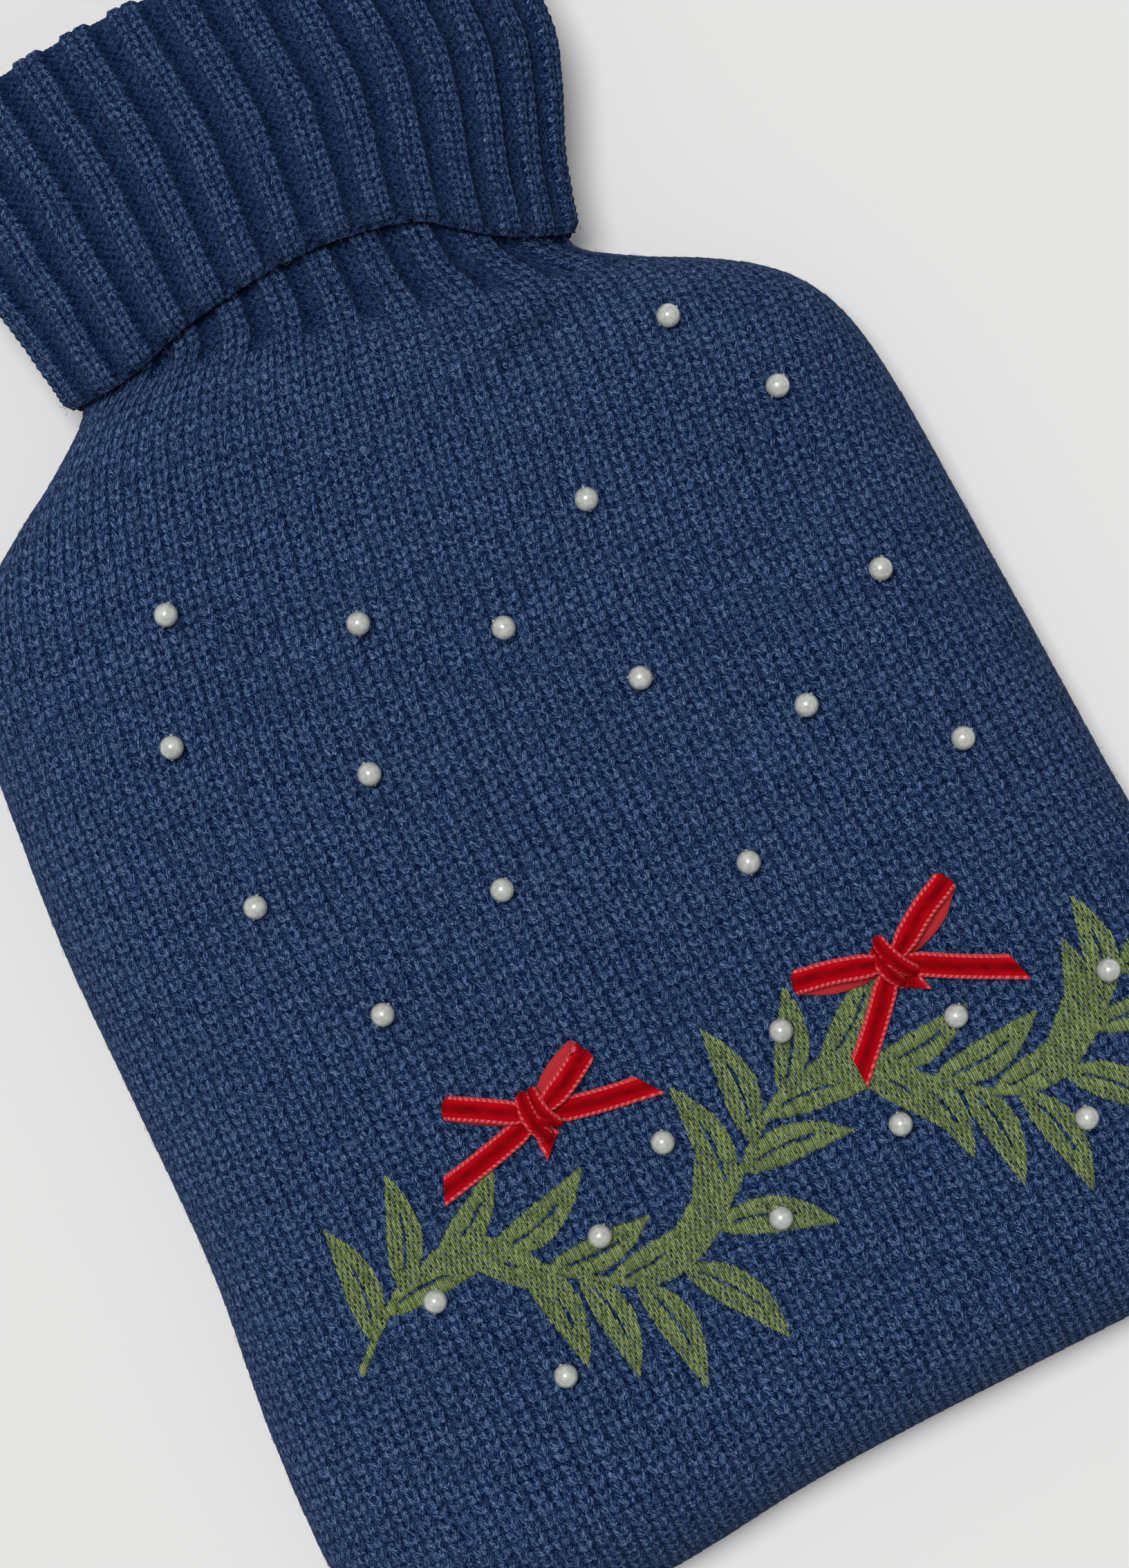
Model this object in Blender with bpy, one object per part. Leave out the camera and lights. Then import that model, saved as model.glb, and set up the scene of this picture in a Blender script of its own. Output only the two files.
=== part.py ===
"""Knitted cover for a hot water bottle, lying on its back and filled out as if worn.

Two knitted panels meet along the sides and the bottom. Each goes up into its half of a ribbed neck, which
folds over at the top and comes down outside itself as a turned-down collar, so each panel is one sheet with
one fold. Two tied velvet bows lie on the front.

Frame: metres, +Z up, the neck towards +Y, the origin under the middle of the cover. The tables are in
millimetres. "along" is the distance up the cover from its bottom edge, measured at its middle line.
"offset" is the distance outwards from the knit's outer face.
"""

import math
from collections import namedtuple

import bmesh
import bpy
from mathutils import Matrix, Vector

MM = 0.001

# ---------------------------------------------------------------- cloth
KNIT_THICKNESS = 2.8      # body, plain knit
RIB_THICKNESS = 3.4       # neck and collar, over the raised ribs
RIB_DEPTH = 1.4           # how far the purl columns lie behind the knit ones
RIBS_PER_PANEL = 14       # two knit and two purl columns each
COLLAR_GAP = 1.2          # between the neck and the collar turned down over it
SEAM_GAP = 0.3            # between the two panels at their seams
RIB_STARTS = 271.0        # along: the last plain row
RIB_IS_FULL = 279.0       # along: the first row with ribs of full depth
RIB_FADE = 30.0           # over how many millimetres below the ribs the plain columns come to their spacing
RIB_NARROWS = 0.55        # share of the way from the left seam to the right one where ribs start to narrow
RIB_NARROWEST = 0.62      # width of a rib at the right seam, as a share of the widest

# ---------------------------------------------------------------- body
BOTTOM_ROLL = 24.0        # how far from the bottom edge the surface starts to turn down
CORNER_RADIUS = 34.0      # bottom corners, seen from above
BULGE_REACH = 45.0        # how far up the bottom edge's bulge fades out
FOLD_LINE = 353.5         # along: middle of the fold at the top of the collar
FLATTENED = 1.0           # how much deeper the back would bow if it did not lie flat on its underside
BACK_SQUARER = 1.0        # how much boxier the back's section is than the front's
CREASE_FADE = 12.0        # the creases end this far above the first row of full ribs

# One row for each section across the cover. left, right: where the side seams run. crown: height of the
# front. seam: height of the side seams. floor: height of the back's underside. tilt: how much a row of
# stitches drops to the right, for each millimetre. arch: how much its ends drop. square: how boxy the
# section is, 2 being an ellipse.
Section = namedtuple("Section", "along left right crown seam floor tilt arch square")
SECTIONS = [
    Section(0.0, -121.0, 119.5, 35.0, 13.0, 0.0, 0.0, 0.0, 4.2),
    Section(34.0, -121.0, 119.5, 37.0, 14.0, 0.0, 0.0, 0.0, 4.2),
    Section(64.0, -119.0, 118.0, 39.0, 15.0, 0.0, 0.0, 0.0, 4.2),
    Section(101.0, -114.3, 114.2, 40.0, 15.0, 0.0, 0.0, 0.0, 4.2),
    Section(145.0, -112.6, 112.6, 40.5, 15.0, 0.0, 0.0, 0.0, 4.2),
    Section(180.0, -111.3, 111.3, 40.0, 15.5, 0.0, 0.0, 0.0, 4.1),
    Section(210.0, -108.0, 110.0, 39.5, 16.0, 0.0, 0.01, 0.0, 3.9),
    Section(228.0, -105.5, 107.5, 38.8, 16.5, 0.0, 0.02, 0.0, 3.7),
    Section(240.0, -102.5, 103.0, 38.0, 17.0, 0.0, 0.035, 0.0, 3.4),
    Section(250.0, -95.0, 95.5, 37.3, 17.5, 0.8, 0.055, 0.0, 3.1),
    Section(259.0, -81.0, 84.0, 36.8, 18.0, 2.2, 0.08, 0.0, 2.8),
    Section(267.0, -66.0, 71.5, 36.6, 18.5, 3.6, 0.11, 0.0, 2.5),
    Section(276.0, -53.0, 61.5, 36.8, 19.0, 4.6, 0.14, 0.0, 2.4),
    Section(293.0, -53.5, 68.5, 37.6, 19.5, 4.6, 0.12, 2.0, 2.3),
    Section(314.0, -57.0, 74.0, 38.5, 20.0, 4.6, 0.10, 4.0, 2.3),
    Section(358.0, -62.5, 75.5, 39.0, 20.5, 4.6, 0.07, 8.0, 2.3),
]

# The collar's free edge: how far up it lies, from its left seam (-1) to its right seam (1).
EdgePoint = namedtuple("EdgePoint", "across along")
COLLAR_EDGE_FRONT = [
    EdgePoint(-1.0, 276.5),
    EdgePoint(-0.7, 284.5),
    EdgePoint(-0.4, 288.5),
    EdgePoint(0.0, 291.5),
    EdgePoint(0.45, 291.5),
    EdgePoint(0.65, 289.5),
    EdgePoint(0.8, 284.5),
    EdgePoint(1.0, 277.5),
]
COLLAR_EDGE_BACK = [
    EdgePoint(-1.0, 276.5),
    EdgePoint(-0.5, 284.0),
    EdgePoint(0.5, 285.0),
    EdgePoint(1.0, 277.5),
]

# Creases and swells of the front. x, along: the middle. heading: the way it runs, in degrees from +X.
# length, width: how far it reaches. rise: its height, or its depth below 0.
Crease = namedtuple("Crease", "name x along heading length width rise")
CREASES = [
    Crease("dent under the collar's right end", 47.0, 254.0, 15.0, 17.0, 5.5, -3.2),
    Crease("ridge beside that dent", 47.0, 264.0, 24.0, 20.0, 4.0, 1.6),
    Crease("hollow under the collar's left end", -30.0, 273.0, -12.0, 17.0, 6.0, -2.2),
    Crease("swell of the left shoulder", -62.0, 240.0, 55.0, 26.0, 16.0, 1.2),
    Crease("swell of the right shoulder", 74.0, 228.0, -50.0, 30.0, 15.0, 1.2),
    Crease("slack across the neck", 5.0, 245.0, 2.0, 45.0, 9.0, -1.2),
    Crease("slack above the hem, left", -60.0, 40.0, 20.0, 40.0, 16.0, -0.8),
    Crease("swell above the hem, right", 55.0, 60.0, -10.0, 45.0, 20.0, 0.8),
]

# The bottom edge hangs lower to the left of the middle.
BULGE_X = -58.0
BULGE_WIDTH = 34.0
BULGE_DROP = 4.0

# ---------------------------------------------------------------- mesh fineness
BODY_COLUMNS = 30
LINING_COLUMNS = 16       # inner face of the body
NECK_COLUMNS = 28         # inner face of the neck
RIB_COLUMNS = 4 * RIBS_PER_PANEL
OUTLINE_STEPS = 96        # steps of a section before it is divided evenly
ROLL_STEPS = 5
FOLD_STEPS = 5
BODY_ALONGS = [36.0, 50.0, 66.0, 84.0, 104.0, 126.0, 148.0, 170.0, 190.0, 207.0, 221.0, 232.0]
SHOULDER_ALONGS = [240.0, 247.0, 253.0, 258.5, 263.0, 267.0]
NECK_ALONGS = [275.0, 279.0, 286.0, 296.0, 315.0, 335.0]
COLLAR_SHARES = [0.12, 0.35, 0.6, 0.82, 0.965, 1.0]
EDGE_ROUNDING = 0.7       # how far the collar's free edge is drawn in at its two corners

# ---------------------------------------------------------------- bows
RIBBON_WIDTH = 5.5
RIBBON_THICKNESS = 0.7
RIBBON_PINCH = 0.55       # the ribbon's width where it enters the knot, as a share
PINCH_LENGTH = 7.0
RIBBON_CLEARANCE = 0.45   # between a loop or tail and the knit
STRAND_START = 2.2        # how far from the knot's middle a loop or tail starts, inside the knot
LOOP_RADIUS = 0.75        # half the space between a loop's two runs, at its tip
LOOP_ARCH = 0.9           # how far a loop's upper run bows up
LOOP_RISE = 1.3           # how much higher the upper run is at the knot than at the tip
TAIL_RISE = 1.5           # how high a tail leaves the knot
TAIL_FALL = 0.55          # the share of its length over which a tail comes down to the knit
TAIL_WAVE = 0.35
SLANT_STARTS = 0.8        # the share of a tail's length where its sections start to slant
KNOT_LENGTH = 8.4
KNOT_WIDTH = 7.2
KNOT_TOP = 2.2            # from the knot's middle up
KNOT_UNDERSIDE = 2.55     # from the knot's middle down to its flat underside
KNOT_FLARE = 3.2          # the depth that the underside would have if it were round
KNOT_CLEARANCE = 0.35     # between a knot and the knit
KNOT_SEGMENTS = 14
KNOT_RINGS = 9
RUN_STEPS = 4             # steps of a loop's lower or upper run
TURN_STEPS = 4            # steps round a loop's tip
TAIL_STEPS = 7

# heading: the way a loop or tail points from the knot, in degrees from +X.
# slant: how much longer a tail is at its left edge for each millimetre of width.
Bow = namedtuple("Bow", "name x along loops tails knot_heading")
Strand = namedtuple("Strand", "length heading slant")
BOWS = [
    Bow("bow_left", -33.5, 100.7,
        [Strand(20.5, 149.0, 0.0), Strand(17.5, 30.0, 0.0)],
        [Strand(26.0, -12.0, -1.0), Strand(26.5, 192.5, 0.7)], 75.0),
    Bow("bow_right", 50.4, 95.5,
        [Strand(21.8, 165.5, 0.0), Strand(21.5, 29.5, 0.0)],
        [Strand(28.3, -29.5, -0.95), Strand(25.2, 227.0, 0.95)], 100.0),
]

# ---------------------------------------------------------------- finishes
KNIT_COLOUR = (0.016, 0.045, 0.15, 1.0)
VELVET_COLOUR = (0.45, 0.005, 0.012, 1.0)
KNIT_ROUGHNESS = 0.95
VELVET_ROUGHNESS = 0.7
CREASE_ANGLE = 50.0       # edges sharper than this many degrees are not shaded smooth


def clear_scene():
    for thing in list(bpy.data.objects):
        bpy.data.objects.remove(thing, do_unlink=True)


def finish(name, colour, roughness):
    material = bpy.data.materials.new(name)
    material.use_nodes = True
    shader = material.node_tree.nodes["Principled BSDF"]
    shader.inputs["Base Color"].default_value = colour
    shader.inputs["Roughness"].default_value = roughness
    shader.inputs["Metallic"].default_value = 0.0
    return material


def blend(start, end, value):
    """0 before start, 1 after end, smooth between."""
    share = min(1.0, max(0.0, (value - start) / (end - start)))
    return share * share * (3.0 - 2.0 * share)


def read_table(rows, key, column, at):
    """Smooth curve through one column of a table, read at a value of its key column."""
    if at <= getattr(rows[0], key):
        return getattr(rows[0], column)
    if at >= getattr(rows[-1], key):
        return getattr(rows[-1], column)
    here = next(i for i in range(len(rows) - 1) if at <= getattr(rows[i + 1], key))

    def place(i):
        return getattr(rows[i], key), getattr(rows[i], column)

    def slope(i):
        before, after = max(0, i - 1), min(len(rows) - 1, i + 1)
        return (place(after)[1] - place(before)[1]) / (place(after)[0] - place(before)[0])

    (x0, y0), (x1, y1) = place(here), place(here + 1)
    span = x1 - x0
    t = (at - x0) / span
    start_pull, end_pull = slope(here) * span, slope(here + 1) * span
    return ((2 * t**3 - 3 * t**2 + 1) * y0 + (t**3 - 2 * t**2 + t) * start_pull
            + (3 * t**2 - 2 * t**3) * y1 + (t**3 - t**2) * end_pull)


def section_at(along):
    columns = [read_table(SECTIONS, "along", name, along) for name in Section._fields[1:]]
    return Section(along, *columns)


def roll_share(distance, radius):
    """How high a surface has risen at a distance from the edge it turns down at: 0 there, 1 past it."""
    short = max(0.0, 1.0 - max(0.0, distance) / radius)
    return math.sqrt(1.0 - short * short)


def half_section(side, along, offset):
    """One panel's outline across the cover, as (x, z) points from its left seam to its right seam."""
    place = section_at(along)
    corner = CORNER_RADIUS + offset
    inset = corner * (1.0 - roll_share(along + offset, corner))
    rise = roll_share(along + offset, BOTTOM_ROLL + offset)
    centre = (place.left + place.right) / 2
    half_width = (place.right - place.left) / 2 + offset - inset
    if side > 0:
        height, square = place.crown - place.seam, place.square
    else:
        height, square = place.seam - place.floor + FLATTENED, place.square + BACK_SQUARER
    height = (height + offset) * rise
    lowest = (max(0.0, place.floor) - offset) * rise + (place.seam - SEAM_GAP / 2) * (1.0 - rise)
    points = []
    for step in range(OUTLINE_STEPS + 1):
        angle = math.pi * (1.0 - step / OUTLINE_STEPS)
        reach = math.copysign(abs(math.cos(angle)) ** (2.0 / square), math.cos(angle))
        z = place.seam + side * (SEAM_GAP / 2 + height * math.sin(angle))
        if side < 0:
            z = max(z, lowest)
        points.append((centre + half_width * reach, z))
    return points


def point_along(points, share):
    """The point that lies a share of the way along an outline."""
    lengths = [math.dist(a, b) for a, b in zip(points, points[1:])]
    left = share * sum(lengths)
    for (a, b), length in zip(zip(points, points[1:]), lengths):
        if left <= length:
            t = left / length if length else 0.0
            return a[0] + (b[0] - a[0]) * t, a[1] + (b[1] - a[1]) * t
        left -= length
    return points[-1]


def crease_height(x, along):
    total = 0.0
    for crease in CREASES:
        heading = math.radians(crease.heading)
        dx, dy = x - crease.x, along - crease.along
        run = dx * math.cos(heading) + dy * math.sin(heading)
        side = dy * math.cos(heading) - dx * math.sin(heading)
        total += crease.rise * math.exp(-((run / crease.length) ** 2) - (side / crease.width) ** 2)
    return total


def front_height(x, along):
    """Height of the front's outer face above the floor."""
    place = section_at(along)
    half_width = (place.right - place.left) / 2
    across = min(1.0, abs(x - (place.left + place.right) / 2) / half_width)
    bow = math.sqrt(1.0 - across ** place.square)
    return place.seam + SEAM_GAP / 2 + (place.crown - place.seam) * bow + crease_height(x, along) * bow


def cloth_point(side, share, along, offset):
    """A point of a panel: share is 0 at its left seam and 1 at its right seam."""
    place = section_at(along)
    x, z = point_along(half_section(side, along, offset), share)
    middle = (place.left + place.right) / 2
    across = (x - middle) / ((place.right - place.left) / 2)
    if side > 0:
        under_collar = 1.0 - blend(RIB_IS_FULL, RIB_IS_FULL + CREASE_FADE, along)
        edge = math.sin(math.pi * share) ** 0.5
        z += crease_height(x, along) * edge * roll_share(along, BOTTOM_ROLL) * under_collar
    bulge = BULGE_DROP * math.exp(-(((x - BULGE_X) / BULGE_WIDTH) ** 2))
    y = along - place.tilt * (x - middle) - place.arch * across * across
    y -= bulge * (1.0 - blend(0.0, BULGE_REACH, along))
    return Vector((x, y, z))


def is_purl(column):
    """Ribs are four columns wide: the first and the last lie behind the middle two."""
    return column % 4 in (0, 3)


def rib_place(t):
    """Where a share of the stitches lies across a ribbed row: the ribs narrow towards the right seam."""
    def passed(share):
        narrowing = (1.0 - RIB_NARROWEST) / (1.0 - RIB_NARROWS)
        return share - narrowing * max(0.0, share - RIB_NARROWS) ** 2 / 2
    return passed(t) / passed(1.0)


def flat_row(side, columns, along, offset, rib_share=0.0):
    """A row of points across a panel, with the purl columns set back where it is ribbed."""
    row = []
    ribbing = blend(RIB_STARTS - RIB_FADE, RIB_STARTS, along)
    for column in range(columns + 1):
        share = column / columns
        share += (rib_place(share) - share) * ribbing
        set_back = RIB_DEPTH * rib_share if is_purl(column) else 0.0
        row.append(cloth_point(side, share, along, offset - set_back))
    return row


def fold_row(side, angle, radius, ribbed):
    """A row of points on the fold, angle 0 being the neck's side of it and pi the collar's."""
    row = []
    for column in range(RIB_COLUMNS + 1):
        depth = RIB_DEPTH * blend(0.0, math.pi / 2, angle) if ribbed and is_purl(column) else 0.0
        reach = radius - depth
        along = FOLD_LINE + reach * math.sin(angle)
        offset = COLLAR_GAP / 2 - reach * math.cos(angle)
        row.append(cloth_point(side, rib_place(column / RIB_COLUMNS), along, offset))
    return row


def collar_row(side, share_down, offset, ribbed):
    """A row of points on the collar, share_down being 0 at the fold and 1 at its free edge."""
    edge = COLLAR_EDGE_FRONT if side > 0 else COLLAR_EDGE_BACK
    row = []
    for column in range(RIB_COLUMNS + 1):
        share = rib_place(column / RIB_COLUMNS)
        across = -math.cos(math.pi * share)
        free = read_table(edge, "across", "along", across)
        along = FOLD_LINE + (free - FOLD_LINE) * share_down
        depth = RIB_DEPTH if ribbed and is_purl(column) else 0.0
        row.append(cloth_point(side, share, along, offset - depth))
    return row


def face_rows(side):
    """The rows of a panel's knit face and of its other face, each with its mark along the sheet."""
    outer, inner = [], []
    for step in range(ROLL_STEPS + 1):
        turn = 1.0 - math.cos(math.pi / 2 * step / ROLL_STEPS)
        outer.append((step, flat_row(side, BODY_COLUMNS, BOTTOM_ROLL * turn, 0.0)))
        inner_along = KNIT_THICKNESS + (BOTTOM_ROLL - KNIT_THICKNESS) * turn
        inner.append((step, flat_row(side, LINING_COLUMNS, inner_along, -KNIT_THICKNESS)))
    mark = ROLL_STEPS
    for along in BODY_ALONGS + SHOULDER_ALONGS:
        mark += 1
        outer.append((mark, flat_row(side, BODY_COLUMNS, along, 0.0)))
        if mark % 2 == 0 or along in SHOULDER_ALONGS:
            inner.append((mark, flat_row(side, LINING_COLUMNS, along, -KNIT_THICKNESS)))
    for along in NECK_ALONGS:
        mark += 1
        rib_share = blend(RIB_STARTS, RIB_IS_FULL, along)
        outer.append((mark, flat_row(side, RIB_COLUMNS, along, 0.0, rib_share)))
        thickness = KNIT_THICKNESS + (RIB_THICKNESS - KNIT_THICKNESS) * rib_share
        inner.append((mark, flat_row(side, NECK_COLUMNS, along, -thickness)))
    for step in range(FOLD_STEPS + 1):
        mark += 1
        angle = math.pi * step / FOLD_STEPS
        outer.append((mark, fold_row(side, angle, COLLAR_GAP / 2, False)))
        inner.append((mark, fold_row(side, angle, COLLAR_GAP / 2 + RIB_THICKNESS, True)))
    for share_down in COLLAR_SHARES:
        mark += 1
        drawn_in = EDGE_ROUNDING if share_down == 1.0 else 0.0
        outer.append((mark, collar_row(side, share_down, COLLAR_GAP + drawn_in / 2, False)))
        inner.append((mark, collar_row(side, share_down, COLLAR_GAP + RIB_THICKNESS - drawn_in, True)))
    return outer, inner


def zip_rows(mesh, first, second, first_marks, second_marks):
    """Fills the strip between two rows of points, walking up both by their marks."""
    i = j = 0
    while i < len(first) - 1 or j < len(second) - 1:
        next_first = first_marks[i + 1] if i < len(first) - 1 else math.inf
        next_second = second_marks[j + 1] if j < len(second) - 1 else math.inf
        if math.isclose(next_first, next_second, abs_tol=1e-9):
            mesh.faces.new((first[i], second[j], second[j + 1]))
            mesh.faces.new((first[i], second[j + 1], first[i + 1]))
            i, j = i + 1, j + 1
        elif next_first < next_second:
            mesh.faces.new((first[i], second[j], first[i + 1]))
            i += 1
        else:
            mesh.faces.new((first[i], second[j], second[j + 1]))
            j += 1


def shares(row):
    return [i / (len(row) - 1) for i in range(len(row))]


def skin(mesh, rows):
    """Turns marked rows of points into one face of a sheet, and gives its rows of vertices back."""
    placed = [(mark, [mesh.verts.new(point * MM) for point in row]) for mark, row in rows]
    for (_, lower), (_, upper) in zip(placed, placed[1:]):
        zip_rows(mesh, lower, upper, shares(lower), shares(upper))
    return placed


def close_rim(mesh, outer, inner):
    """Joins the two faces of a sheet all round its edge."""
    outer_marks = [mark for mark, _ in outer]
    inner_marks = [mark for mark, _ in inner]
    for end in (0, -1):
        outer_side = [row[end] for _, row in outer]
        inner_side = [row[end] for _, row in inner]
        zip_rows(mesh, outer_side, inner_side, outer_marks, inner_marks)
        outer_row, inner_row = outer[end][1], inner[end][1]
        zip_rows(mesh, outer_row, inner_row, shares(outer_row), shares(inner_row))


def add_object(name, mesh, material):
    bmesh.ops.recalc_face_normals(mesh, faces=mesh.faces)
    data = bpy.data.meshes.new(name)
    mesh.to_mesh(data)
    mesh.free()
    data.materials.append(material)
    data.shade_smooth()
    data.set_sharp_from_angle(angle=math.radians(CREASE_ANGLE))
    thing = bpy.data.objects.new(name, data)
    bpy.context.scene.collection.objects.link(thing)
    return thing


def build_panel(name, side, material):
    outer_rows, inner_rows = face_rows(side)
    mesh = bmesh.new()
    outer = skin(mesh, outer_rows)
    inner = skin(mesh, inner_rows)
    close_rim(mesh, outer, inner)
    return add_object(name, mesh, material)


def loop_path(length):
    """A loop's middle line seen from the side: out along the knit, round its tip and back above."""
    turn = length - LOOP_RADIUS
    runs = [STRAND_START + (turn - STRAND_START) * step / RUN_STEPS for step in range(RUN_STEPS + 1)]
    path = [Vector((run, 0.0)) for run in runs]
    for step in range(1, TURN_STEPS):
        angle = math.pi * step / TURN_STEPS - math.pi / 2
        path.append(Vector((turn + LOOP_RADIUS * math.cos(angle), LOOP_RADIUS * (1 + math.sin(angle)))))
    for run in reversed(runs):
        rise = LOOP_ARCH * math.sin(math.pi * run / turn) + LOOP_RISE * (1.0 - run / turn)
        path.append(Vector((run, 2 * LOOP_RADIUS + rise)))
    return path


def tail_path(length):
    """A tail's middle line seen from the side: down from the knot and out along the knit."""
    path = []
    for step in range(TAIL_STEPS + 1):
        run = STRAND_START + (length - STRAND_START) * step / TAIL_STEPS
        fall = TAIL_RISE * (1.0 - blend(0.0, length * TAIL_FALL, run))
        wave = TAIL_WAVE * math.sin(math.pi * run / length) ** 2
        path.append(Vector((run, fall + wave)))
    return path


def ribbon(name, path, strand, bow, material):
    """A flat ribbon swept along a path, over the knit, in the direction of its strand."""
    heading = math.radians(strand.heading)
    forward = Vector((math.cos(heading), math.sin(heading)))
    sideways = Vector((-forward.y, forward.x))
    mesh = bmesh.new()
    rings = []
    for i, place in enumerate(path):
        before, after = path[max(0, i - 1)], path[min(len(path) - 1, i + 1)]
        tangent = (after - before).normalized()
        normal = Vector((-tangent.y, tangent.x))
        pinch = RIBBON_PINCH + (1.0 - RIBBON_PINCH) * blend(0.0, PINCH_LENGTH, place.x)
        half_width = RIBBON_WIDTH * pinch / 2
        cut = strand.slant * blend(SLANT_STARTS, 1.0, place.x / strand.length)
        ring = []
        for face, edge in ((-1, -1), (1, -1), (1, 1), (-1, 1)):
            spot = place + normal * (face * RIBBON_THICKNESS / 2)
            run = spot.x + cut * edge * half_width
            plan = forward * run + sideways * (edge * half_width)
            x, along = bow.x + plan.x, bow.along + plan.y
            lift = RIBBON_CLEARANCE + RIBBON_THICKNESS / 2 + spot.y
            ring.append(mesh.verts.new(Vector((x, along, front_height(x, along) + lift)) * MM))
        rings.append(ring)
    for ring, following in zip(rings, rings[1:]):
        for corner in range(4):
            following_corner = (corner + 1) % 4
            mesh.faces.new((ring[corner], ring[following_corner],
                            following[following_corner], following[corner]))
    mesh.faces.new(rings[0])
    mesh.faces.new(list(reversed(rings[-1])))
    return add_object(name, mesh, material)


def build_bow(bow, material):
    """Two loops and two tails that leave one knot, joined into one solid."""
    mesh = bmesh.new()
    bmesh.ops.create_uvsphere(mesh, u_segments=KNOT_SEGMENTS, v_segments=KNOT_RINGS, radius=1.0)
    for vertex in mesh.verts:
        reach = KNOT_TOP if vertex.co.z > 0.0 else KNOT_FLARE
        height = max(vertex.co.z * reach, -KNOT_UNDERSIDE)
        vertex.co = Vector((vertex.co.x * KNOT_LENGTH / 2, vertex.co.y * KNOT_WIDTH / 2, height)) * MM
    height = front_height(bow.x, bow.along) + KNOT_UNDERSIDE + KNOT_CLEARANCE
    turn = Matrix.Rotation(math.radians(bow.knot_heading), 4, "Z")
    bmesh.ops.transform(mesh, matrix=turn, verts=mesh.verts)
    bmesh.ops.translate(mesh, vec=Vector((bow.x, bow.along, height)) * MM, verts=mesh.verts)
    knot = add_object(bow.name, mesh, material)
    strands = [(strand, loop_path(strand.length)) for strand in bow.loops]
    strands += [(strand, tail_path(strand.length)) for strand in bow.tails]
    cutters = []
    for number, (strand, path) in enumerate(strands):
        piece = ribbon(f"{bow.name}_strand_{number}", path, strand, bow, material)
        piece.hide_render = True
        piece.display_type = "WIRE"
        union = knot.modifiers.new(f"strand_{number}", "BOOLEAN")
        union.operation = "UNION"
        union.solver = "EXACT"
        union.object = piece
        cutters.append(piece)
    return knot, cutters


def centre_on_floor(parts, followers):
    """Moves everything so that the origin lies under the middle of the cover."""
    corners = [thing.matrix_world @ vertex.co for thing in parts for vertex in thing.data.vertices]
    low = [min(corner[axis] for corner in corners) for axis in range(3)]
    high = [max(corner[axis] for corner in corners) for axis in range(3)]
    shift = Vector((-(low[0] + high[0]) / 2, -(low[1] + high[1]) / 2, -low[2]))
    for thing in parts + followers:
        thing.data.transform(Matrix.Translation(shift))


def main():
    clear_scene()
    knit = finish("navy_knit", KNIT_COLOUR, KNIT_ROUGHNESS)
    knit_back = finish("navy_knit_back", KNIT_COLOUR, KNIT_ROUGHNESS)
    parts = [build_panel("front_panel", 1, knit), build_panel("back_panel", -1, knit_back)]
    followers = []
    for bow in BOWS:
        velvet = finish(f"{bow.name}_velvet", VELVET_COLOUR, VELVET_ROUGHNESS)
        knot, strands = build_bow(bow, velvet)
        followers += [knot] + strands
    centre_on_floor(parts, followers)


main()
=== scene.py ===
"""Knitted hot water bottle cover: the stitches, ribs, seams, embroidery, beads and ribbons.

The cover lies on its back, filled out as if worn. The shape tables are in millimetres, in the cover's own
measure: x across it, "along" up it from its bottom edge to its neck. The frame is in metres.
"""

import math
from collections import namedtuple

import bmesh
import bpy
import numpy as np
from mathutils import Matrix, Vector


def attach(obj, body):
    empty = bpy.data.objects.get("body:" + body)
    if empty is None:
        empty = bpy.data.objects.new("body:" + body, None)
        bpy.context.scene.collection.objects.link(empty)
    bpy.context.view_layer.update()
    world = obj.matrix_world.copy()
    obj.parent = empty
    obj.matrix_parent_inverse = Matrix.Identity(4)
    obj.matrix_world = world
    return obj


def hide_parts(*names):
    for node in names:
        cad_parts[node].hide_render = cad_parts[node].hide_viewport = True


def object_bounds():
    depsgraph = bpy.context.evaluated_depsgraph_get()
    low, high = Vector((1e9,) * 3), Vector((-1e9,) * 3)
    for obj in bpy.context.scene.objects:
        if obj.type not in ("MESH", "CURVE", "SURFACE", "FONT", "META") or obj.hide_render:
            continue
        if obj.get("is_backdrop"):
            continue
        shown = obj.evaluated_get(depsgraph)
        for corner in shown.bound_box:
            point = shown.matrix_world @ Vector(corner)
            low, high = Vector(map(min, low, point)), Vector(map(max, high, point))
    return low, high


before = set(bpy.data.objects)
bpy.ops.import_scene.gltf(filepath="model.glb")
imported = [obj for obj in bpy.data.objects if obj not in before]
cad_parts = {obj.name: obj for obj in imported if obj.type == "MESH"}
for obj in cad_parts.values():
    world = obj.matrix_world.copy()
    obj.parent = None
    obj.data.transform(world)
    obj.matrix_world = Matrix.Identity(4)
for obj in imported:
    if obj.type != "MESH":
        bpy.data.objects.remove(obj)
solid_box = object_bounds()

MM = 0.001
TO_FRAME = np.array([0.7413, -177.0234, 0.0])    # from the cover's own measure to the frame, in mm

# ---------------------------------------------------------------- the cover's shape
SEAM_GAP = 0.3            # between the two halves
BODY_THICKNESS = 2.8      # of the body's cloth
RIBS_DEEPER = 1.5         # how much thicker that cloth is where its ribs have troughs
RIB_THICKNESS = 3.4       # of the collar's cloth
COLLAR_GAP = 1.2          # between the neck and the collar turned down over it
BOTTOM_ROLL = 24.0        # how far from the bottom edge the surface starts to turn down
CORNER_RADIUS = 34.0      # of the two bottom corners
BULGE_X, BULGE_WIDTH, BULGE_DROP = -58.0, 34.0, 4.0     # where and how far the bottom edge hangs lower
BULGE_REACH = 45.0        # how far up the cover that shows
FOLD_LINE = 353.5         # along: middle of the fold at the top of the collar
COVER_TOP = 358.0         # along: the last section
FLATTENED = 1.0           # how far the back's round section would reach past its flattened underside
BACK_SQUARER = 1.0        # how much boxier than the front the back is
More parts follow.
